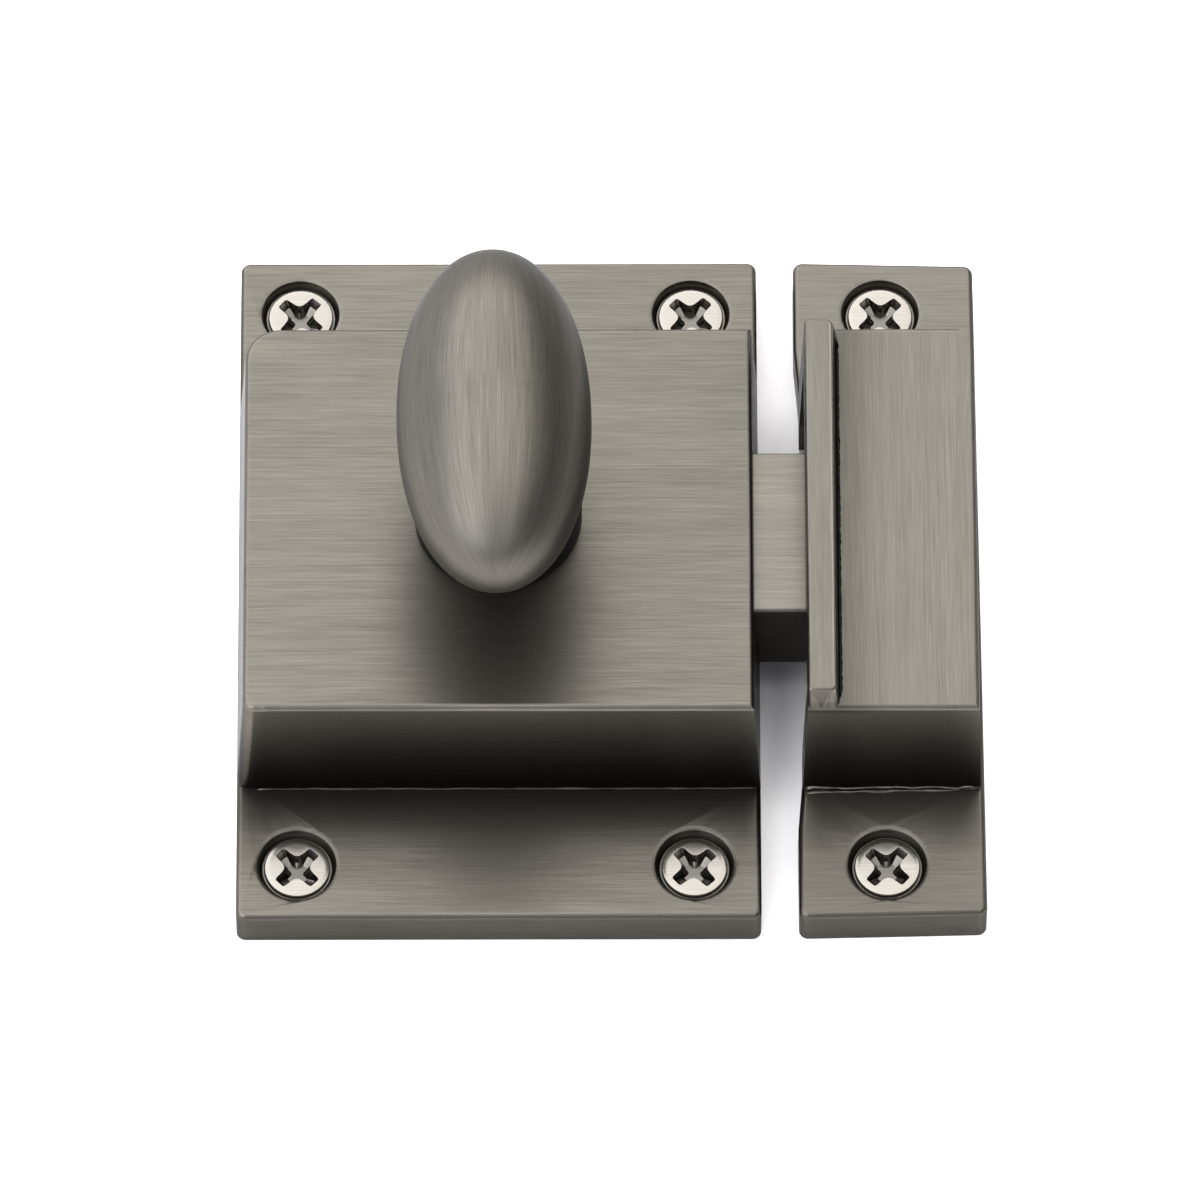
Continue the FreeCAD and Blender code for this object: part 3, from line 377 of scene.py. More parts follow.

# Painted shade on the face beside the lip.
beside_lip = times(
    tree, on_face, fall(tree, x, LIP_RIGHT + 0.05, LIP_RIGHT + 5.0), fall(tree, z, BLOCK_TOP + 0.2, BLOCK_TOP + 0.9)
)
lip_shade = mixed(tree, beside_lip, 1.0, 0.62)
flat_and_high = times(tree, ramp(tree, facing_up(tree), 0.8, 0.95), ramp(tree, z, BLOCK_TOP - 0.2, BLOCK_TOP - 0.04))
in_groove = times(
    tree,
    on_face,
    ramp(tree, x, LIP_RIGHT - 0.05, LIP_RIGHT + 0.1),
    fall(tree, x, LIP_RIGHT + 0.9, LIP_RIGHT + 1.05),
    fall(tree, z, BLOCK_TOP + 0.2, BLOCK_TOP + 1.2),
    fall(tree, value_of(tree, "ABSOLUTE", y), GROOVE_END + 0.1, GROOVE_END + 1.0),
    value_of(tree, "SUBTRACT", 1.0, flat_and_high),
)
# Dirt and painted shade darken the groove nearly to black.
groove_dirt_and_shade = mixed(tree, in_groove, 1.0, 0.12)
# Painted highlight on the lip's worn outer top edge.
on_edge = times(tree, ramp(tree, x, LIP_RIGHT - 0.35, LIP_RIGHT - 0.2), ramp(tree, z, LIP_TOP - 0.7, LIP_TOP - 0.4))
worn_edge_and_highlight = mixed(tree, on_edge, 1.0, 1.6)
keeper_patina_and_shade = times(tree, corner_shade_and_patina(tree, 0.35, 0.68, 0.82), lip_shade, groove_dirt_and_shade, worn_edge_and_highlight)
brushed(tree, shader, PEWTER, keeper_grain, keeper_patina_and_shade)
print("keeper material has", len(tree.nodes), "nodes")

# %% [markdown]
# The knob was held against the brush and rolled, so its streaks follow the egg's length all the way round. Noise that
# is read straight from the place would smear on the sides. So the streaks read an unrolled place
# instead: the angle round the egg's axis times its radius is the one coordinate, and Y is the other. The neck, the
# foot and the low underside of the egg are painted dark, as shade under the egg. The bolt has plain streaks along its
# travel, and its upright sides are painted darker, as shade.

# %% Knob and bolt materials
EGG_MIDDLE = 31.9
EGG_UNROLLED = 8.2
knob_metal, tree, shader = tree_of("knob_brushed_pewter")
x, y, z = place_parts(tree)
# Painted shade: the neck, the foot and the low underside of the egg are darker.
neck_painted_shade = mixed(tree, ramp(tree, z, 19.6, 24.5), 0.35, 1.0)
knob_painted_shade = mixed(tree, ramp(tree, facing_up(tree), 0.25, 0.75), neck_painted_shade, 1.0)
round_angle = value_of(tree, "ARCTAN2", x, value_of(tree, "SUBTRACT", z, EGG_MIDDLE))
unrolled = tree.nodes.new("ShaderNodeCombineXYZ")
tree.links.new(times(tree, round_angle, EGG_UNROLLED * MM), unrolled.inputs["X"])
tree.links.new(times(tree, y, MM), unrolled.inputs["Y"])
knob_grain = brush_lines(tree, 1, place=unrolled.outputs["Vector"])
brushed(tree, shader, PEWTER, knob_grain, knob_painted_shade, roughness=0.42, contrast=1.5)

BOLT_PEWTER = (0.114, 0.106, 0.091)
bolt_metal, tree, shader = tree_of("bolt_brushed_pewter")
# Painted shade: the bolt's upright sides are darker than its flat faces.
flat_share = ramp(tree, value_of(tree, "ABSOLUTE", facing_up(tree)), 0.35, 0.8)
brushed(tree, shader, BOLT_PEWTER, brush_lines(tree, 0), mixed(tree, flat_share, 0.45, 1.0))
print("knob and bolt materials ready")

# %% [markdown]
# The hidden pieces are plain turned steel and zinc plated sheet, which need one colour and faint marks. The wood
# screws are bright nickel; below the head's face, in their cross recesses and under the head, they are painted dark
# as shade. The bolt and the inner pieces keep the frame's own solids, because those already have the real edges.

# %% Plain metals and screws
def plain_metal(name, colour, roughness):
    """A turned or plated metal with faint marks."""
    material, tree, shader = tree_of(name)
    brushed(tree, shader, colour, brush_lines(tree, 0), roughness=roughness, contrast=0.5)
    return material


def clothe(material, *members):
    """Gives a material to solids that came with the frame."""
    for member in members:
        nodes[member].data.materials.clear()
        nodes[member].data.materials.append(material)


turned_steel = plain_metal("turned_steel", (0.24, 0.24, 0.25), 0.35)
zinc_sheet = plain_metal("zinc_sheet", (0.29, 0.30, 0.31), 0.4)
spring_steel = plain_metal("spring_steel", (0.2, 0.2, 0.215), 0.3)
bright_nickel = plain_metal("bright_nickel", (0.225, 0.213, 0.193), 0.24)
screw_metal, tree, shader = tree_of("screw_nickel_with_dark_recess")
_, _, z = place_parts(tree)
# Painted shade: the screw is darker below the head's face, in the recess and under the head.
recess_painted_shade = mixed(tree, ramp(tree, z, 2.5, 3.3), 0.45, 1.0)
brushed(tree, shader, (0.235, 0.222, 0.2), brush_lines(tree, 0), recess_painted_shade, roughness=0.22, contrast=0.4)
clothe(turned_steel, "spindle", "crank", "crank_pin", "crank_screw")
clothe(zinc_sheet, "back_plate", "crank_washer")
clothe(bolt_metal, "bolt")
print("inner pieces clothed")

# %% [markdown]
# Turned pieces come from a lathe, and Blender's lathe is the spin tool: half of an outline is drawn with
# extruded points and spun round an axis. Pieces are joined and cut with boolean modifiers, as a milling cutter
# would. After that each mesh is cleaned: doubled points and slivers go, and flat faces keep flat shading beside
# rounded edges, because their normals are weighted by area.

# %% Tools for modelling
WELD = 0.002 * MM


def bare():
    """Nothing stays selected, so that the next tool acts on the new piece only."""
    if bpy.context.object and bpy.context.object.mode != "OBJECT":
        bpy.ops.object.mode_set(mode="OBJECT")
    bpy.ops.object.select_all(action="DESELECT")


def alone(piece):
    """Selects one piece and makes it the active one."""
    bare()
    piece.select_set(True)
    bpy.context.view_layer.objects.active = piece


def face_out():
    """In edit mode, turns all faces outwards."""
    bpy.ops.mesh.select_all(action="SELECT")
    bpy.ops.mesh.normals_make_consistent(inside=False)
    bpy.ops.object.mode_set(mode="OBJECT")


def spun(name, outline, steps=72):
    """Draws an outline of (radius, height) points and spins it round the upright axis."""
    bare()
    first = outline[0]
    bpy.ops.mesh.primitive_plane_add(size=MM, location=(first[0] * MM, 0, first[1] * MM))
    piece = bpy.context.object
    piece.name = name
    bpy.ops.object.transform_apply(location=True, rotation=False, scale=False)
    bpy.ops.object.mode_set(mode="EDIT")
    bpy.ops.mesh.select_mode(type="VERT")
    bpy.ops.mesh.select_all(action="SELECT")
    bpy.ops.mesh.merge(type="CENTER")
    for here, there in zip(outline, outline[1:]):
        step = ((there[0] - here[0]) * MM, 0, (there[1] - here[1]) * MM)
        bpy.ops.mesh.extrude_vertices_move(TRANSFORM_OT_translate={"value": step})
    bpy.ops.mesh.select_all(action="SELECT")
    bpy.ops.mesh.spin(steps=steps, angle=2 * math.pi, center=(0, 0, 0), axis=(0, 0, 1))
    bpy.ops.mesh.select_all(action="SELECT")
    bpy.ops.mesh.remove_doubles(threshold=WELD)
    face_out()
    return piece


def combine(piece, tool, how="UNION"):
    """Joins a tool to the piece, or cuts it out of the piece, and throws the tool away."""
    alone(piece)
    step = piece.modifiers.new("combine", "BOOLEAN")
    step.operation = how
    step.solver = "EXACT"
    step.object = tool
    bpy.ops.object.modifier_apply(modifier=step.name)
    bpy.data.objects.remove(tool)


def join_loose(piece, *others):
    """Makes loose parts one mesh with the piece."""
    alone(piece)
    for other in others:
        other.select_set(True)
    bpy.ops.object.join()


def paint(piece, material):
    """Gives the piece this material only."""
    piece.data.materials.clear()
    piece.data.materials.append(material)


def settle(piece, angle=30.0):
    """Clean triangles without slivers, smooth curves, crisp corners, and flat faces that stay flat."""
    alone(piece)
    bpy.ops.object.transform_apply(location=True, rotation=True, scale=True)
    bpy.ops.object.mode_set(mode="EDIT")
    bpy.ops.mesh.select_all(action="SELECT")
    bpy.ops.mesh.remove_doubles(threshold=WELD)
    bpy.ops.mesh.dissolve_degenerate(threshold=WELD)
    bpy.ops.mesh.dissolve_limited(angle_limit=math.radians(0.05))
    bpy.ops.mesh.select_all(action="SELECT")
    bpy.ops.mesh.quads_convert_to_tris(quad_method="BEAUTY", ngon_method="BEAUTY")
    bpy.ops.object.mode_set(mode="OBJECT")
    bpy.ops.object.shade_smooth_by_angle(angle=math.radians(angle))
    weights = piece.modifiers.new("weights", "WEIGHTED_NORMAL")
    weights.weight = 90
    weights.keep_sharp = True
    bpy.ops.object.modifier_apply(modifier=weights.name)
    print(piece.name, "has", len(piece.data.polygons), "faces")


# %% [markdown]
# The knob is one casting: an egg on a flared neck and a round foot. An egg is a turned shape, so it is spun
# round its long axis and laid down. Its outline is an ellipse with an exponent a little over 2, which makes it
# as full as the real one. The neck is spun in the same way round the upright axis and the two are joined.
# Turning gives a clean surface without a seam, which matters on the piece that catches the most light.

# %% Knob
EGG_LONG, EGG_ROUND, EGG_FULLNESS = 15.875, 8.195, 2.13
EGG_POINTS = 64
FOOT_BOTTOM, FOOT_TOP, FOOT_RADIUS, FOOT_EDGE = 15.8, 19.2, 7.1, 0.45
NECK_FOOT, WAIST_RADIUS, WAIST_HEIGHT, NECK_SPREAD = 6.5, 4.6, 22.0, 2.6
CURVE_POINTS = 8
egg_outline = []
for i in range(EGG_POINTS + 1):
    turn = math.pi * (i / EGG_POINTS - 0.5)
    along = math.copysign(abs(math.sin(turn)) ** (2 / EGG_FULLNESS), math.sin(turn)) * EGG_LONG
    out = max(0.0, math.cos(turn)) ** (2 / EGG_FULLNESS) * EGG_ROUND
    egg_outline.append((out if 0 < i < EGG_POINTS else 0.0, along))
knob = spun("knob_grip", egg_outline, 96)
knob.rotation_euler = (-math.pi / 2, 0, math.radians(0.75))
knob.location = (-0.3 * MM, 0, EGG_MIDDLE * MM)
alone(knob)
bpy.ops.object.transform_apply(location=True, rotation=True, scale=True)

neck_outline = [(0, FOOT_BOTTOM), (FOOT_RADIUS - 0.2, FOOT_BOTTOM), (FOOT_RADIUS, FOOT_BOTTOM + 0.2)]
for i in range(7):
    turn = math.radians(15 * i)
    out = FOOT_RADIUS - FOOT_EDGE + FOOT_EDGE * math.cos(turn)
    neck_outline.append((out, FOOT_TOP - FOOT_EDGE + FOOT_EDGE * math.sin(turn)))
for i in range(1, CURVE_POINTS + 1):
    turn = math.radians(90 * i / CURVE_POINTS)
    out = NECK_FOOT - (NECK_FOOT - WAIST_RADIUS) * math.sin(turn)
    neck_outline.append((out, FOOT_TOP + (WAIST_HEIGHT - FOOT_TOP) * (1 - math.cos(turn))))
for i in range(1, CURVE_POINTS + 1):
    share = i / CURVE_POINTS
    neck_outline.append((WAIST_RADIUS + NECK_SPREAD * share ** 2, WAIST_HEIGHT + (EGG_MIDDLE - WAIST_HEIGHT) * share))
neck_outline.append((0, EGG_MIDDLE))
combine(knob, spun("neck", neck_outline, 96))
combine(knob, spun("bore", [(0, 15.0), (3.0, 15.0), (3.0, 24.2), (0, 24.2)], 48), "DIFFERENCE")
paint(knob, knob_metal)
settle(knob, 40)
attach(knob, "turning")
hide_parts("knob")

# %% [markdown]
# The cross recess of a wood screw is struck with a punch. Its four arms widen towards their ends and draw
# together with depth, so that a driver fits tightly. One arm is half of a small outline and its mirror image,
# turned to the four quarters. The flat cross is then extruded down in three steps and drawn in at each.

# %% Punch of the cross recess
HALF_ARM = [(0.80, 0.80), (0.90, 0.71), (1.08, 0.64), (1.40, 0.59), (1.90, 0.56), (2.08, 0.52), (2.18, 0.40)]
PUNCH_STEPS = ((0.13, 0.95), (0.7, 0.82), (0.4, 0.55))


def cross_punch(top):
    """The punch of a cross recess on the upright axis. Each of its steps is a depth and a share."""
    arm = [(u, -v) for u, v in HALF_ARM] + [(u, v) for u, v in reversed(HALF_ARM[1:])]
    bare()
    bpy.ops.mesh.primitive_circle_add(
        vertices=4 * len(arm), radius=MM, fill_type="NGON", location=(0, 0, (top + 0.04) * MM)
    )
    punch = bpy.context.object
    for i, vert in enumerate(punch.data.vertices):
        quarter, place = divmod(i, len(arm))
        vert.co = Matrix.Rotation(math.radians(45 + 90 * quarter), 3, "Z") @ Vector((*arm[place], 0)) * MM
    bpy.ops.object.mode_set(mode="EDIT")
    bpy.ops.mesh.select_all(action="SELECT")
    for sink, draw in PUNCH_STEPS:
        bpy.ops.mesh.extrude_region_move(TRANSFORM_OT_translate={"value": (0, 0, -sink * MM)})
        bpy.ops.transform.resize(value=(draw, draw, 1.0))
    face_out()
    return punch


print("punch is", round(sum(sink for sink, _ in PUNCH_STEPS), 2), "mm deep")

# %% [markdown]
# A thread is rolled as one ridge along a helix. A triangle is swept with the screw modifier, which turns and
# lifts it at once. Its two open ends are closed with a face, and its foot lies inside the screw's core, so the
# two may stay separate shells of one mesh. A boolean on a fine helix is slow and leaves slivers.

# %% Thread
def thread(root, crest, pitch, low, high, steps=20):
    """A sharp ridge along a helix from low to high, between two radii."""
    bare()
    bpy.ops.mesh.primitive_circle_add(vertices=3, radius=1.0, fill_type="NGON", rotation=(math.pi / 2, 0, 0))
    ridge = bpy.context.object
    bpy.ops.object.transform_apply(location=False, rotation=True, scale=False)
    foot, half = root - 0.12, 0.32 * pitch
    for vert, (out, rise) in zip(ridge.data.vertices, ((foot, -half), (foot, half), (crest, 0.0))):
        vert.co = (out * MM, 0, (low + rise) * MM)
    helix = ridge.modifiers.new("helix", "SCREW")
    helix.axis = "Z"
    helix.steps = steps
    helix.render_steps = steps
    helix.screw_offset = pitch * MM
    helix.iterations = int(round((high - low) / pitch))
    helix.use_normal_calculate = True
    bpy.ops.object.modifier_apply(modifier=helix.name)
    bpy.ops.object.mode_set(mode="EDIT")
    bpy.ops.mesh.select_all(action="SELECT")
    bpy.ops.mesh.remove_doubles(threshold=WELD)
    bpy.ops.mesh.select_all(action="DESELECT")
    bpy.ops.mesh.select_mode(type="EDGE")
    bpy.ops.mesh.select_non_manifold(extend=False)
    bpy.ops.mesh.edge_face_add()
    face_out()
    return ridge


print("thread tool ready")

# %% [markdown]
# A wood screw is turned: a flat head with a broken edge, a cone under it, a plain shank, a thinner core and a
# point. One is made with care and serves as the pattern for all six. Its thread is drawn in towards the axis
# below the core, so that it runs out at the point as a real one does.

# %% Wood screw shape
HEAD_TOP, HEAD_RADIUS = 3.34, 2.8
SHANK_RADIUS, CORE_RADIUS, CREST_RADIUS, WOOD_PITCH = 1.4, 1.1, 1.5, 1.25
CORE_END, POINT_END = -9.46, -12.66
wood_screw = spun(
    "wood_screw",
    [
        (0, HEAD_TOP), (2.22, HEAD_TOP - 0.01), (2.58, HEAD_TOP - 0.04), (2.7, HEAD_TOP - 0.08),
        (2.78, HEAD_TOP - 0.16), (HEAD_RADIUS, HEAD_TOP - 0.28), (2.76, HEAD_TOP - 0.38),
        (2.4, HEAD_TOP - 0.4), (SHANK_RADIUS, 1.99), (SHANK_RADIUS, 0.2), (CORE_RADIUS, -0.1),
        (CORE_RADIUS, CORE_END), (0.62, -11.2), (0.0, POINT_END),
    ],
    48,
)
combine(wood_screw, cross_punch(HEAD_TOP), "DIFFERENCE")
ridge = thread(CORE_RADIUS, CREST_RADIUS, WOOD_PITCH, -11.6, -0.35)
for vert in ridge.data.vertices:
    below = (CORE_END - vert.co.z / MM) / (CORE_END - POINT_END)
    if below > 0:
        vert.co.xy *= max(0.12, 1 - 0.9 * below)
join_loose(wood_screw, ridge)
paint(wood_screw, screw_metal)
settle(wood_screw, 25)
print("wood screw box mm", [round(v / MM, 2) for v in wood_screw.dimensions])

# %% [markdown]
# Six copies of the pattern go where the frame's screws stand. A fitter never leaves all the crosses at one
# angle, so each is turned by a few degrees of its own.

# %% Six wood screws
WOOD_TURNS = {
    "latch_screw_1": 0, "latch_screw_2": 4, "latch_screw_3": -3, "latch_screw_4": 2,
    "keeper_screw_1": 3, "keeper_screw_2": -2,
}


def middle_of(node):
    """The middle of a frame's node, seen from above."""
    low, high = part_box(node)
    return (low[0] + high[0]) / 2, (low[1] + high[1]) / 2


def planted(pattern, node, name, turn):
    """A copy of the pattern with its own mesh, turned and put where the frame's screw stands."""
    copy = pattern.copy()
    copy.data = pattern.data.copy()
    copy.name = name
    bpy.context.scene.collection.objects.link(copy)
    copy.rotation_euler = (0, 0, math.radians(turn))
    copy.location = (*middle_of(node), 0)
    alone(copy)
    bpy.ops.object.transform_apply(location=True, rotation=True, scale=True)
    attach(copy, "root")
    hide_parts(node)


for node, turn in WOOD_TURNS.items():
    planted(wood_screw, node, node + "_threaded", turn)
bpy.data.objects.remove(wood_screw)
print("wood screws at", {node: [round(v / MM, 1) for v in middle_of(node)] for node in WOOD_TURNS})

# %% [markdown]
# The sheet at the back is held by four small countersunk screws with straight slots. Each one is spun as the
# wood screw was, its slot is cut with a thin bar, and its fine thread is the same swept ridge. They point the
# other way, with their heads in the plane of the back.

# %% Four back plate screws
FINE_CORE, FINE_CREST, FINE_PITCH = 0.82, 0.99, 0.4
SLOT_LENGTH, SLOT_WIDTH, SLOT_DEPTH = 4.4, 0.5, 0.45
BACK_TURNS = (20, -35, 75, 10)
back_screw = spun(
    "back_screw",
    [
        (0, 0.0), (1.75, 0.0), (1.87, 0.06), (1.88, 0.12), (0.98, 1.02), (FINE_CORE, 1.15),
        (FINE_CORE, 6.75), (0.6, 6.98), (0, 6.98),
    ],
    40,
)
bare()
bpy.ops.mesh.primitive_cube_add(size=1.0, location=(0, 0, (SLOT_DEPTH - SLOT_WIDTH / 2) * MM))
slot_bar = bpy.context.object
slot_bar.scale = (SLOT_LENGTH * MM, SLOT_WIDTH * MM, SLOT_WIDTH * MM)
bpy.ops.object.transform_apply(location=True, rotation=False, scale=True)
combine(back_screw, slot_bar, "DIFFERENCE")
join_loose(back_screw, thread(FINE_CORE, FINE_CREST, FINE_PITCH, 1.5, 6.5, 16))
paint(back_screw, bright_nickel)
settle(back_screw, 25)
for number, turn in enumerate(BACK_TURNS, 1):
    planted(back_screw, f"back_plate_screw_{number}", f"back_plate_screw_{number}_threaded", turn)
bpy.data.objects.remove(back_screw)

# %% [markdown]
# The spring is a round wire wound on a mandrel: wide turns in the middle that can close, and one close turn at each
# end that gives it a flat seat. A small circle is swept along a helix three times and the parts are merged.

# %% Spring
WIRE, WIND, SPRING_LONG = 0.215, 1.75, 28.95
SPRING_Y, SPRING_Z = 8.6, 7.275
WIDE_TURNS, CLOSE_RISE = 7, 2 * WIRE + 0.02


def coil(turns, rise, start):
    """A helix of round wire round the upright axis, its first section at this height."""
    bare()
    bpy.ops.mesh.primitive_circle_add(vertices=8, radius=WIRE * MM, rotation=(math.pi / 2, 0, 0))
    wire = bpy.context.object
    bpy.ops.object.transform_apply(location=False, rotation=True, scale=False)
    bpy.ops.object.mode_set(mode="EDIT")
    bpy.ops.mesh.select_all(action="SELECT")
    bpy.ops.transform.translate(value=(WIND * MM, 0, start * MM))
    bpy.ops.object.mode_set(mode="OBJECT")
    sweep = wire.modifiers.new("sweep", "SCREW")
    sweep.axis = "Z"
    sweep.steps = 28
    sweep.render_steps = 28
    sweep.screw_offset = rise * MM
    sweep.iterations = turns
    bpy.ops.object.modifier_apply(modifier=sweep.name)
    return wire


wide_rise = (SPRING_LONG - 2 * WIRE - 2 * CLOSE_RISE) / WIDE_TURNS
spring = coil(WIDE_TURNS, wide_rise, WIRE + CLOSE_RISE)
join_loose(spring, coil(1, CLOSE_RISE, WIRE), coil(1, CLOSE_RISE, SPRING_LONG - WIRE - CLOSE_RISE))
spring.name = "bolt_spring_wound"
bpy.ops.object.mode_set(mode="EDIT")
bpy.ops.mesh.select_all(action="SELECT")
bpy.ops.mesh.remove_doubles(threshold=WELD)
bpy.ops.mesh.select_all(action="DESELECT")
bpy.ops.mesh.select_mode(type="EDGE")
bpy.ops.mesh.select_non_manifold(extend=False)
bpy.ops.mesh.fill_holes(sides=12)
face_out()
spring.rotation_euler = (0, math.pi / 2, 0)
spring.location = (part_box("bolt_spring")[0][0], SPRING_Y * MM, SPRING_Z * MM)
paint(spring, spring_steel)
settle(spring, 60)
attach(spring, "root")
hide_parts("bolt_spring")
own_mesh(spring)
print("spring box mm", [round(v / MM, 2) for v in spring.dimensions])

# %% [markdown]
# Both castings start as a merged copy of the frame's solid, so that their holes and hollows stay where the
# other pieces need them. The grinding wheel that rubbed the real plates bright also rounded the mouths of
# the screw holes into soft dishes, so each hole is opened with a spun cutter that has that rounding. A narrow
# step left round the head gives the thin black ring that the eye expects round a sunk screw.

# %% Castings from the frame
HOLE_RADIUS, HOLE_FLOOR = 2.94, 2.95
CUTTER_RADIUS, CUTTER_TOP = 4.2, 5.2
DISH = [
    (0, CUTTER_TOP), (CUTTER_RADIUS, CUTTER_TOP), (CUTTER_RADIUS, 4.02), (3.68, 3.945), (3.51, 3.89),
    (3.41, 3.82), (3.33, 3.72), (3.27, 3.58), (3.2, 3.4), (3.12, 3.2), (3.03, 3.05),
    (HOLE_RADIUS, HOLE_FLOOR), (0, HOLE_FLOOR),
]


def casting(node, name, material):
    """A copy of a solid with merged points and faces, ready for tools."""
    piece = bpy.data.objects.new(name, nodes[node].data.copy())
    bpy.context.scene.collection.objects.link(piece)
    alone(piece)
    paint(piece, material)
    bpy.ops.object.mode_set(mode="EDIT")
    bpy.ops.mesh.select_all(action="SELECT")
    bpy.ops.mesh.remove_doubles(threshold=WELD / 2)
    bpy.ops.mesh.dissolve_limited(angle_limit=math.radians(0.3))
    bpy.ops.object.mode_set(mode="OBJECT")
    bpy.ops.mesh.customdata_custom_splitnormals_clear()
    print(name, "starts with", len(piece.data.polygons), "faces")
    return piece


def open_hole(piece, node):
    """Rounds the mouth of the hole that holds this screw."""
    dish = spun("dish", DISH, 64)
    dish.location = (*middle_of(node), 0)
    combine(piece, dish, "DIFFERENCE")


case = casting("latch_case", "latch_case_cast", case_metal)
for number in (1, 2, 3, 4):
    open_hole(case, f"latch_screw_{number}")
keeper = casting("keeper", "keeper_cast", keeper_metal)
for number in (1, 2):
    open_hole(keeper, f"keeper_screw_{number}")
print("holes opened: case", len(case.data.polygons), "keeper", len(keeper.data.polygons), "faces")

# %% [markdown]
# Edges and faces of a small tool are picked by where they are and which way they look, in place of clicking
# them. The front left corner of the case's block is fuller on the real latch than in the solid. It is filled
# with a cube whose upper face is drawn in for the lean of the sides, and whose outer edges are bevelled.

# %% Corner of the case
CORNER_FOOT, CORNER_TOP, CORNER_INSIDE = (-22.225, -BLOCK_FOOT), (-21.545, -18.6), (-19.4, -17.0)


def pick_faces(piece, test):
    """In edit mode, selects the faces whose centre and normal pass the test."""
    bpy.ops.mesh.select_mode(type="FACE")
    bpy.ops.mesh.select_all(action="DESELECT")
    bm = bmesh.from_edit_mesh(piece.data)
    bm.normal_update()
    for face in bm.faces:
        face.select = bool(test(face.calc_center_median() / MM, face.normal))
    bmesh.update_edit_mesh(piece.data)


def pick_edges(piece, test):
    """In edit mode, selects the edges whose middle and direction pass the test."""
    bpy.ops.mesh.select_mode(type="EDGE")
    bpy.ops.mesh.select_all(action="DESELECT")
    bm = bmesh.from_edit_mesh(piece.data)
    for edge in bm.edges:
        first, second = edge.verts[0].co / MM, edge.verts[1].co / MM
        edge.select = bool(test((first + second) / 2, (second - first).normalized()))
    bmesh.update_edit_mesh(piece.data)


def bar(name, low, high):
    """A cube primitive between two corners."""
    bare()
    middle = [(a + b) / 2 * MM for a, b in zip(low, high)]
    bpy.ops.mesh.primitive_cube_add(size=1.0, location=middle)
    piece = bpy.context.object
    piece.name = name
    piece.scale = [(b - a) * MM for a, b in zip(low, high)]
    bpy.ops.object.transform_apply(location=True, rotation=False, scale=True)
    return piece


def bevel(piece, test, radius, segments):
    """In edit mode, rounds the edges that pass the test."""
    pick_edges(piece, test)
    bpy.ops.mesh.bevel(offset=radius * MM, segments=segments)


corner = bar("corner", (*CORNER_FOOT, PLATE_TOP - 0.2), (*CORNER_INSIDE, BLOCK_TOP))
draw = [(top - inside) / (foot - inside) for top, foot, inside in zip(CORNER_TOP, CORNER_FOOT, CORNER_INSIDE)]
shift = [(top - foot) / 2 * MM for top, foot in zip(CORNER_TOP, CORNER_FOOT)]
bpy.ops.object.mode_set(mode="EDIT")
pick_faces(corner, lambda c, n: n.z > 0.9)
bpy.ops.transform.resize(value=(*draw, 1.0))
bpy.ops.transform.translate(value=(*shift, 0))
bevel(corner, lambda c, d: abs(d.z) > 0.8 and c.x < -21 and c.y < -19, 1.0, 5)
bevel(
    corner,
    lambda c, d: c.z > BLOCK_TOP - 0.01 and c.x <= CORNER_INSIDE[0] - 0.01 and c.y <= CORNER_INSIDE[1] - 0.01,
    0.5,
    4,
)
bpy.ops.object.mode_set(mode="OBJECT")
combine(case, corner)
print("case with its corner", len(case.data.polygons), "faces")

# %% [markdown]
# At the foot of the keeper's lip lies a groove that a file left, with a ragged edge that is black inside. Its
# cutter is a thin bar with rising pointed ends. The bar is divided into many short lengths and its points are
# shaken a little. The groove is cut before the lip is put on, because a shaken cutter would nick the lip too.

# %% Groove
GROOVE_LOW, GROOVE_HIGH = (28.3, -GROOVE_END, 15.15), (29.04, GROOVE_END, 16.2)


def ragged_cutter(name, low, high, cuts, shake, seed):
    """A long thin bar along Y with rising pointed ends, its points shaken, for a groove that a file left."""
    cutter = bar(name, low, high)
    bpy.ops.object.mode_set(mode="EDIT")
    for side in (-1, 1):
        pick_faces(cutter, lambda c, n: n.y * side > 0.9)
        bpy.ops.mesh.extrude_region_move(TRANSFORM_OT_translate={"value": (0, 1.2 * side * MM, 0.45 * MM)})
        bpy.ops.transform.resize(value=(0.25, 1.0, 0.25))
    pick_edges(cutter, lambda c, d: abs(d.y) > 0.97)
    bpy.ops.mesh.subdivide(number_cuts=cuts)
    pick_faces(cutter, lambda c, n: abs(n.y) < 0.05 and low[1] + 0.3 < c.y < high[1] - 0.3)
    bpy.ops.transform.vertex_random(offset=shake * MM, uniform=0.2, normal=0.0, seed=seed)
    face_out()
    return cutter


combine(keeper, ragged_cutter("groove", GROOVE_LOW, GROOVE_HIGH, 150, 0.08, 3), "DIFFERENCE")
print("keeper with its groove", len(keeper.data.polygons), "faces")

# %% [markdown]
# The lip is cast with the keeper: a bar with a leaning outer side and small rounded edges, and the bolt
# strikes it from the left. Its ends run down into the front and the far wall of the block. A cube is drawn in
# at its upper face for the lean, and bevelled three times, because its upright corners are rounder than its top.

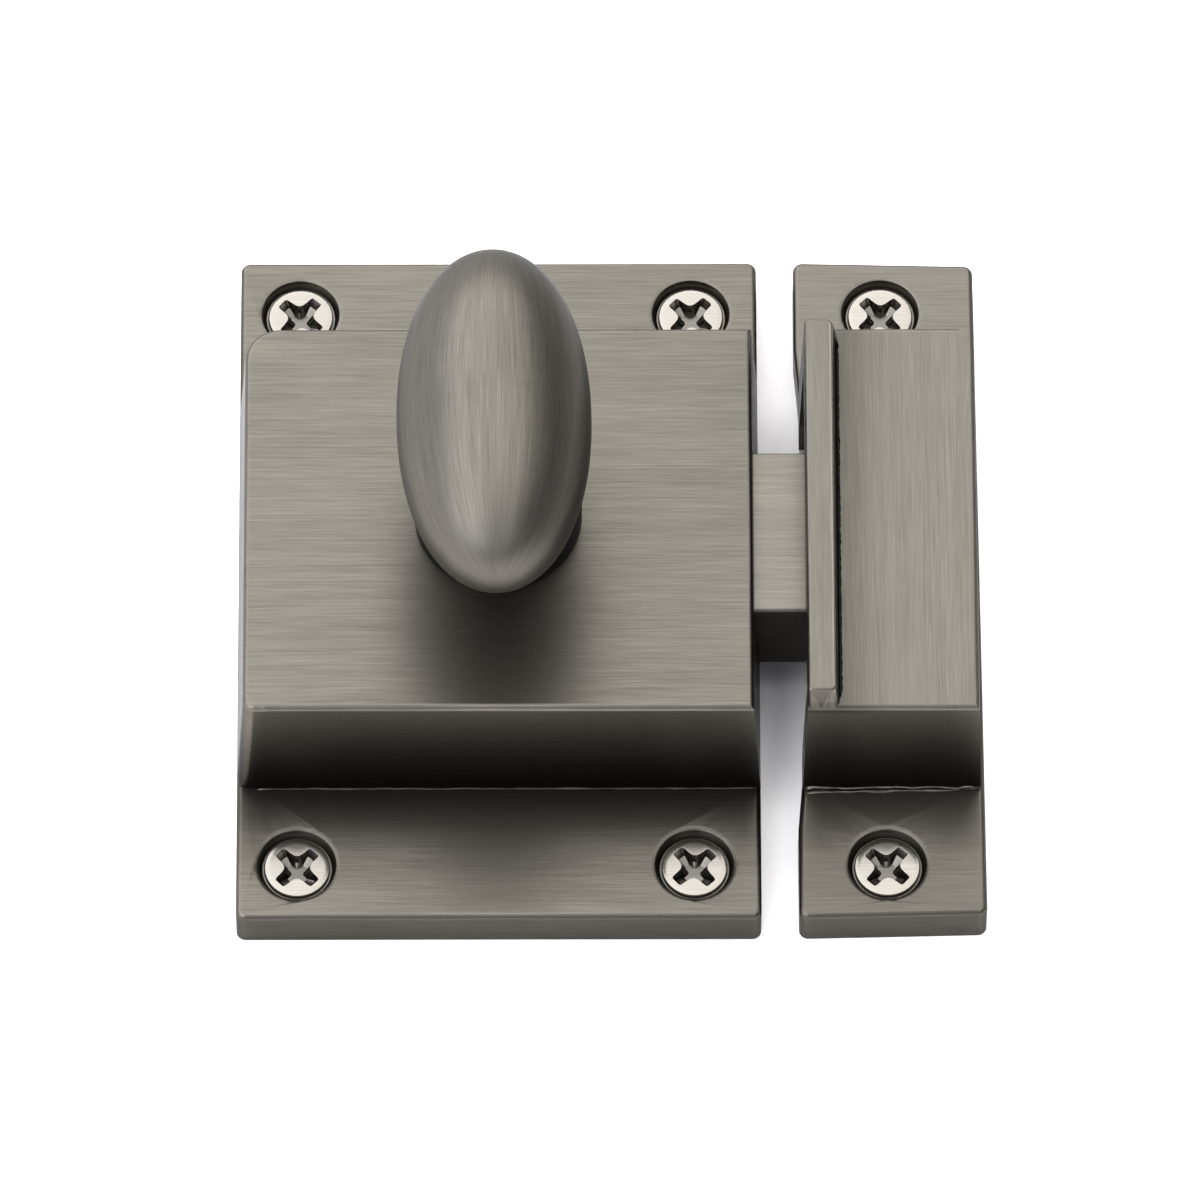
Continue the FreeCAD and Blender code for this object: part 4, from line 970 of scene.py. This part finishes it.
# %% Lip
LIP_HALF_FOOT, LIP_HALF_TOP = 18.62, 18.15
lip = bar("lip", (LIP_LEFT, -LIP_HALF_FOOT, 15.0), (LIP_FOOT, LIP_HALF_FOOT, LIP_TOP))
bpy.ops.object.mode_set(mode="EDIT")
pick_faces(lip, lambda c, n: n.z > 0.9)
lip_draw = (LIP_RIGHT - LIP_LEFT) / (LIP_FOOT - LIP_LEFT)
bpy.ops.transform.resize(value=(lip_draw, LIP_HALF_TOP / LIP_HALF_FOOT, 1.0))
bpy.ops.transform.translate(value=((LIP_RIGHT - LIP_FOOT) / 2 * MM, 0, 0))
bevel(lip, lambda c, d: abs(d.z) > 0.8 and c.x > LIP_RIGHT - 0.5, 0.55, 4)
bevel(lip, lambda c, d: abs(d.z) > 0.8 and c.x < LIP_LEFT + 0.3, 0.3, 3)
bevel(lip, lambda c, d: c.z > LIP_TOP - 0.01, 0.28, 4)
bpy.ops.object.mode_set(mode="OBJECT")
combine(keeper, lip)
print("keeper with its lip", len(keeper.data.polygons), "faces")

# %% [markdown]
# The far right corner of the keeper's block is worn round. The cutter is what a round corner leaves of a
# square one: its outline runs along the outside and back along the arc. Extruding it with a slant lets the
# arc follow both leaning sides of the block.

# %% Rounded far corner of the keeper
CORNER, CORNER_ROUND = (40.95, BLOCK_FOOT), 1.7
OUTSIDE = 0.6
SIDE_LEAN = Vector((-0.7, -1.2, 12.0))
outline = [(OUTSIDE, OUTSIDE), (-CORNER_ROUND, OUTSIDE)]
for i in range(9):
    turn = math.radians(90 - 11.25 * i)
    outline.append((CORNER_ROUND * (math.cos(turn) - 1), CORNER_ROUND * (math.sin(turn) - 1)))
outline.append((OUTSIDE, -CORNER_ROUND))
bare()
bpy.ops.mesh.primitive_circle_add(
    vertices=len(outline), radius=MM, fill_type="NGON", location=(0, 0, (PLATE_TOP + 0.08) * MM)
)
rounder = bpy.context.object
for vert, (u, v) in zip(rounder.data.vertices, outline):
    vert.co.xy = ((CORNER[0] + u) * MM, (CORNER[1] + v) * MM)
bpy.ops.object.mode_set(mode="EDIT")
bpy.ops.mesh.select_all(action="SELECT")
bpy.ops.mesh.extrude_region_move(TRANSFORM_OT_translate={"value": SIDE_LEAN * MM})
face_out()
combine(keeper, rounder, "DIFFERENCE")
print("keeper with its far corner rounded", len(keeper.data.polygons), "faces")

# %% [markdown]
# Where the block meets the plate the wheel never reached, and the cast skin stands up in a thin uneven seam
# that catches the light. Each seam is a thin rod along the corner, divided into many short lengths and shaken,
# so that its glints are real and stay when the view changes.

# %% Seams in the corners
def seam(name, start, end, thick, cuts, shake, seed):
    """An uneven thin rod from one point to another."""
    bare()
    a, b = Vector(start) * MM, Vector(end) * MM
    bpy.ops.mesh.primitive_cylinder_add(
        vertices=8, radius=thick * MM, depth=(b - a).length, location=(a + b) / 2,
        rotation=(b - a).to_track_quat("Z", "Y").to_euler(),
    )
    rod = bpy.context.object
    rod.name = name
    bpy.ops.object.transform_apply(location=True, rotation=True, scale=True)
    bpy.ops.object.mode_set(mode="EDIT")
    pick_edges(rod, lambda c, d: abs(d.x) > 0.9)
    bpy.ops.mesh.subdivide(number_cuts=cuts)
    bpy.ops.mesh.select_all(action="SELECT")
    bpy.ops.transform.vertex_random(offset=shake * MM, uniform=0.8, normal=0.0, seed=seed)
    bpy.ops.mesh.vertices_smooth(factor=0.5, repeat=1)
    bpy.ops.mesh.faces_shade_smooth()
    bpy.ops.object.mode_set(mode="OBJECT")
    return rod


NEAR, FAR = -BLOCK_FOOT, BLOCK_FOOT
case_seams = [
    seam("seam_near", (-20.6, NEAR - 0.02, 3.92), (22.0, NEAR - 0.02, 3.92), 0.11, 60, 0.09, 5),
    seam("seam_far", (-20.6, FAR + 0.02, 3.92), (22.0, FAR + 0.02, 3.92), 0.1, 60, 0.08, 6),
]
keeper_seams = [
    seam("seam_near", (26.0, NEAR - 0.05, 3.97), (40.9, NEAR + 0.02, 3.99), 0.17, 22, 0.2, 7),
    seam("seam_near_low", (25.9, NEAR - 0.5, 3.88), (40.9, NEAR - 0.15, 3.9), 0.14, 20, 0.16, 8),
    seam("seam_far", (26.0, FAR + 0.05, 3.95), (40.6, FAR + 0.05, 3.95), 0.12, 24, 0.12, 9),
]
for piece, node, seams, metal in (
    (case, "latch_case", case_seams, case_metal), (keeper, "keeper", keeper_seams, keeper_metal),
):
    for rod in seams:
        paint(rod, metal)
    settle(piece)
    join_loose(piece, *seams)
    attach(piece, "root")
    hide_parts(node)
print("castings done")
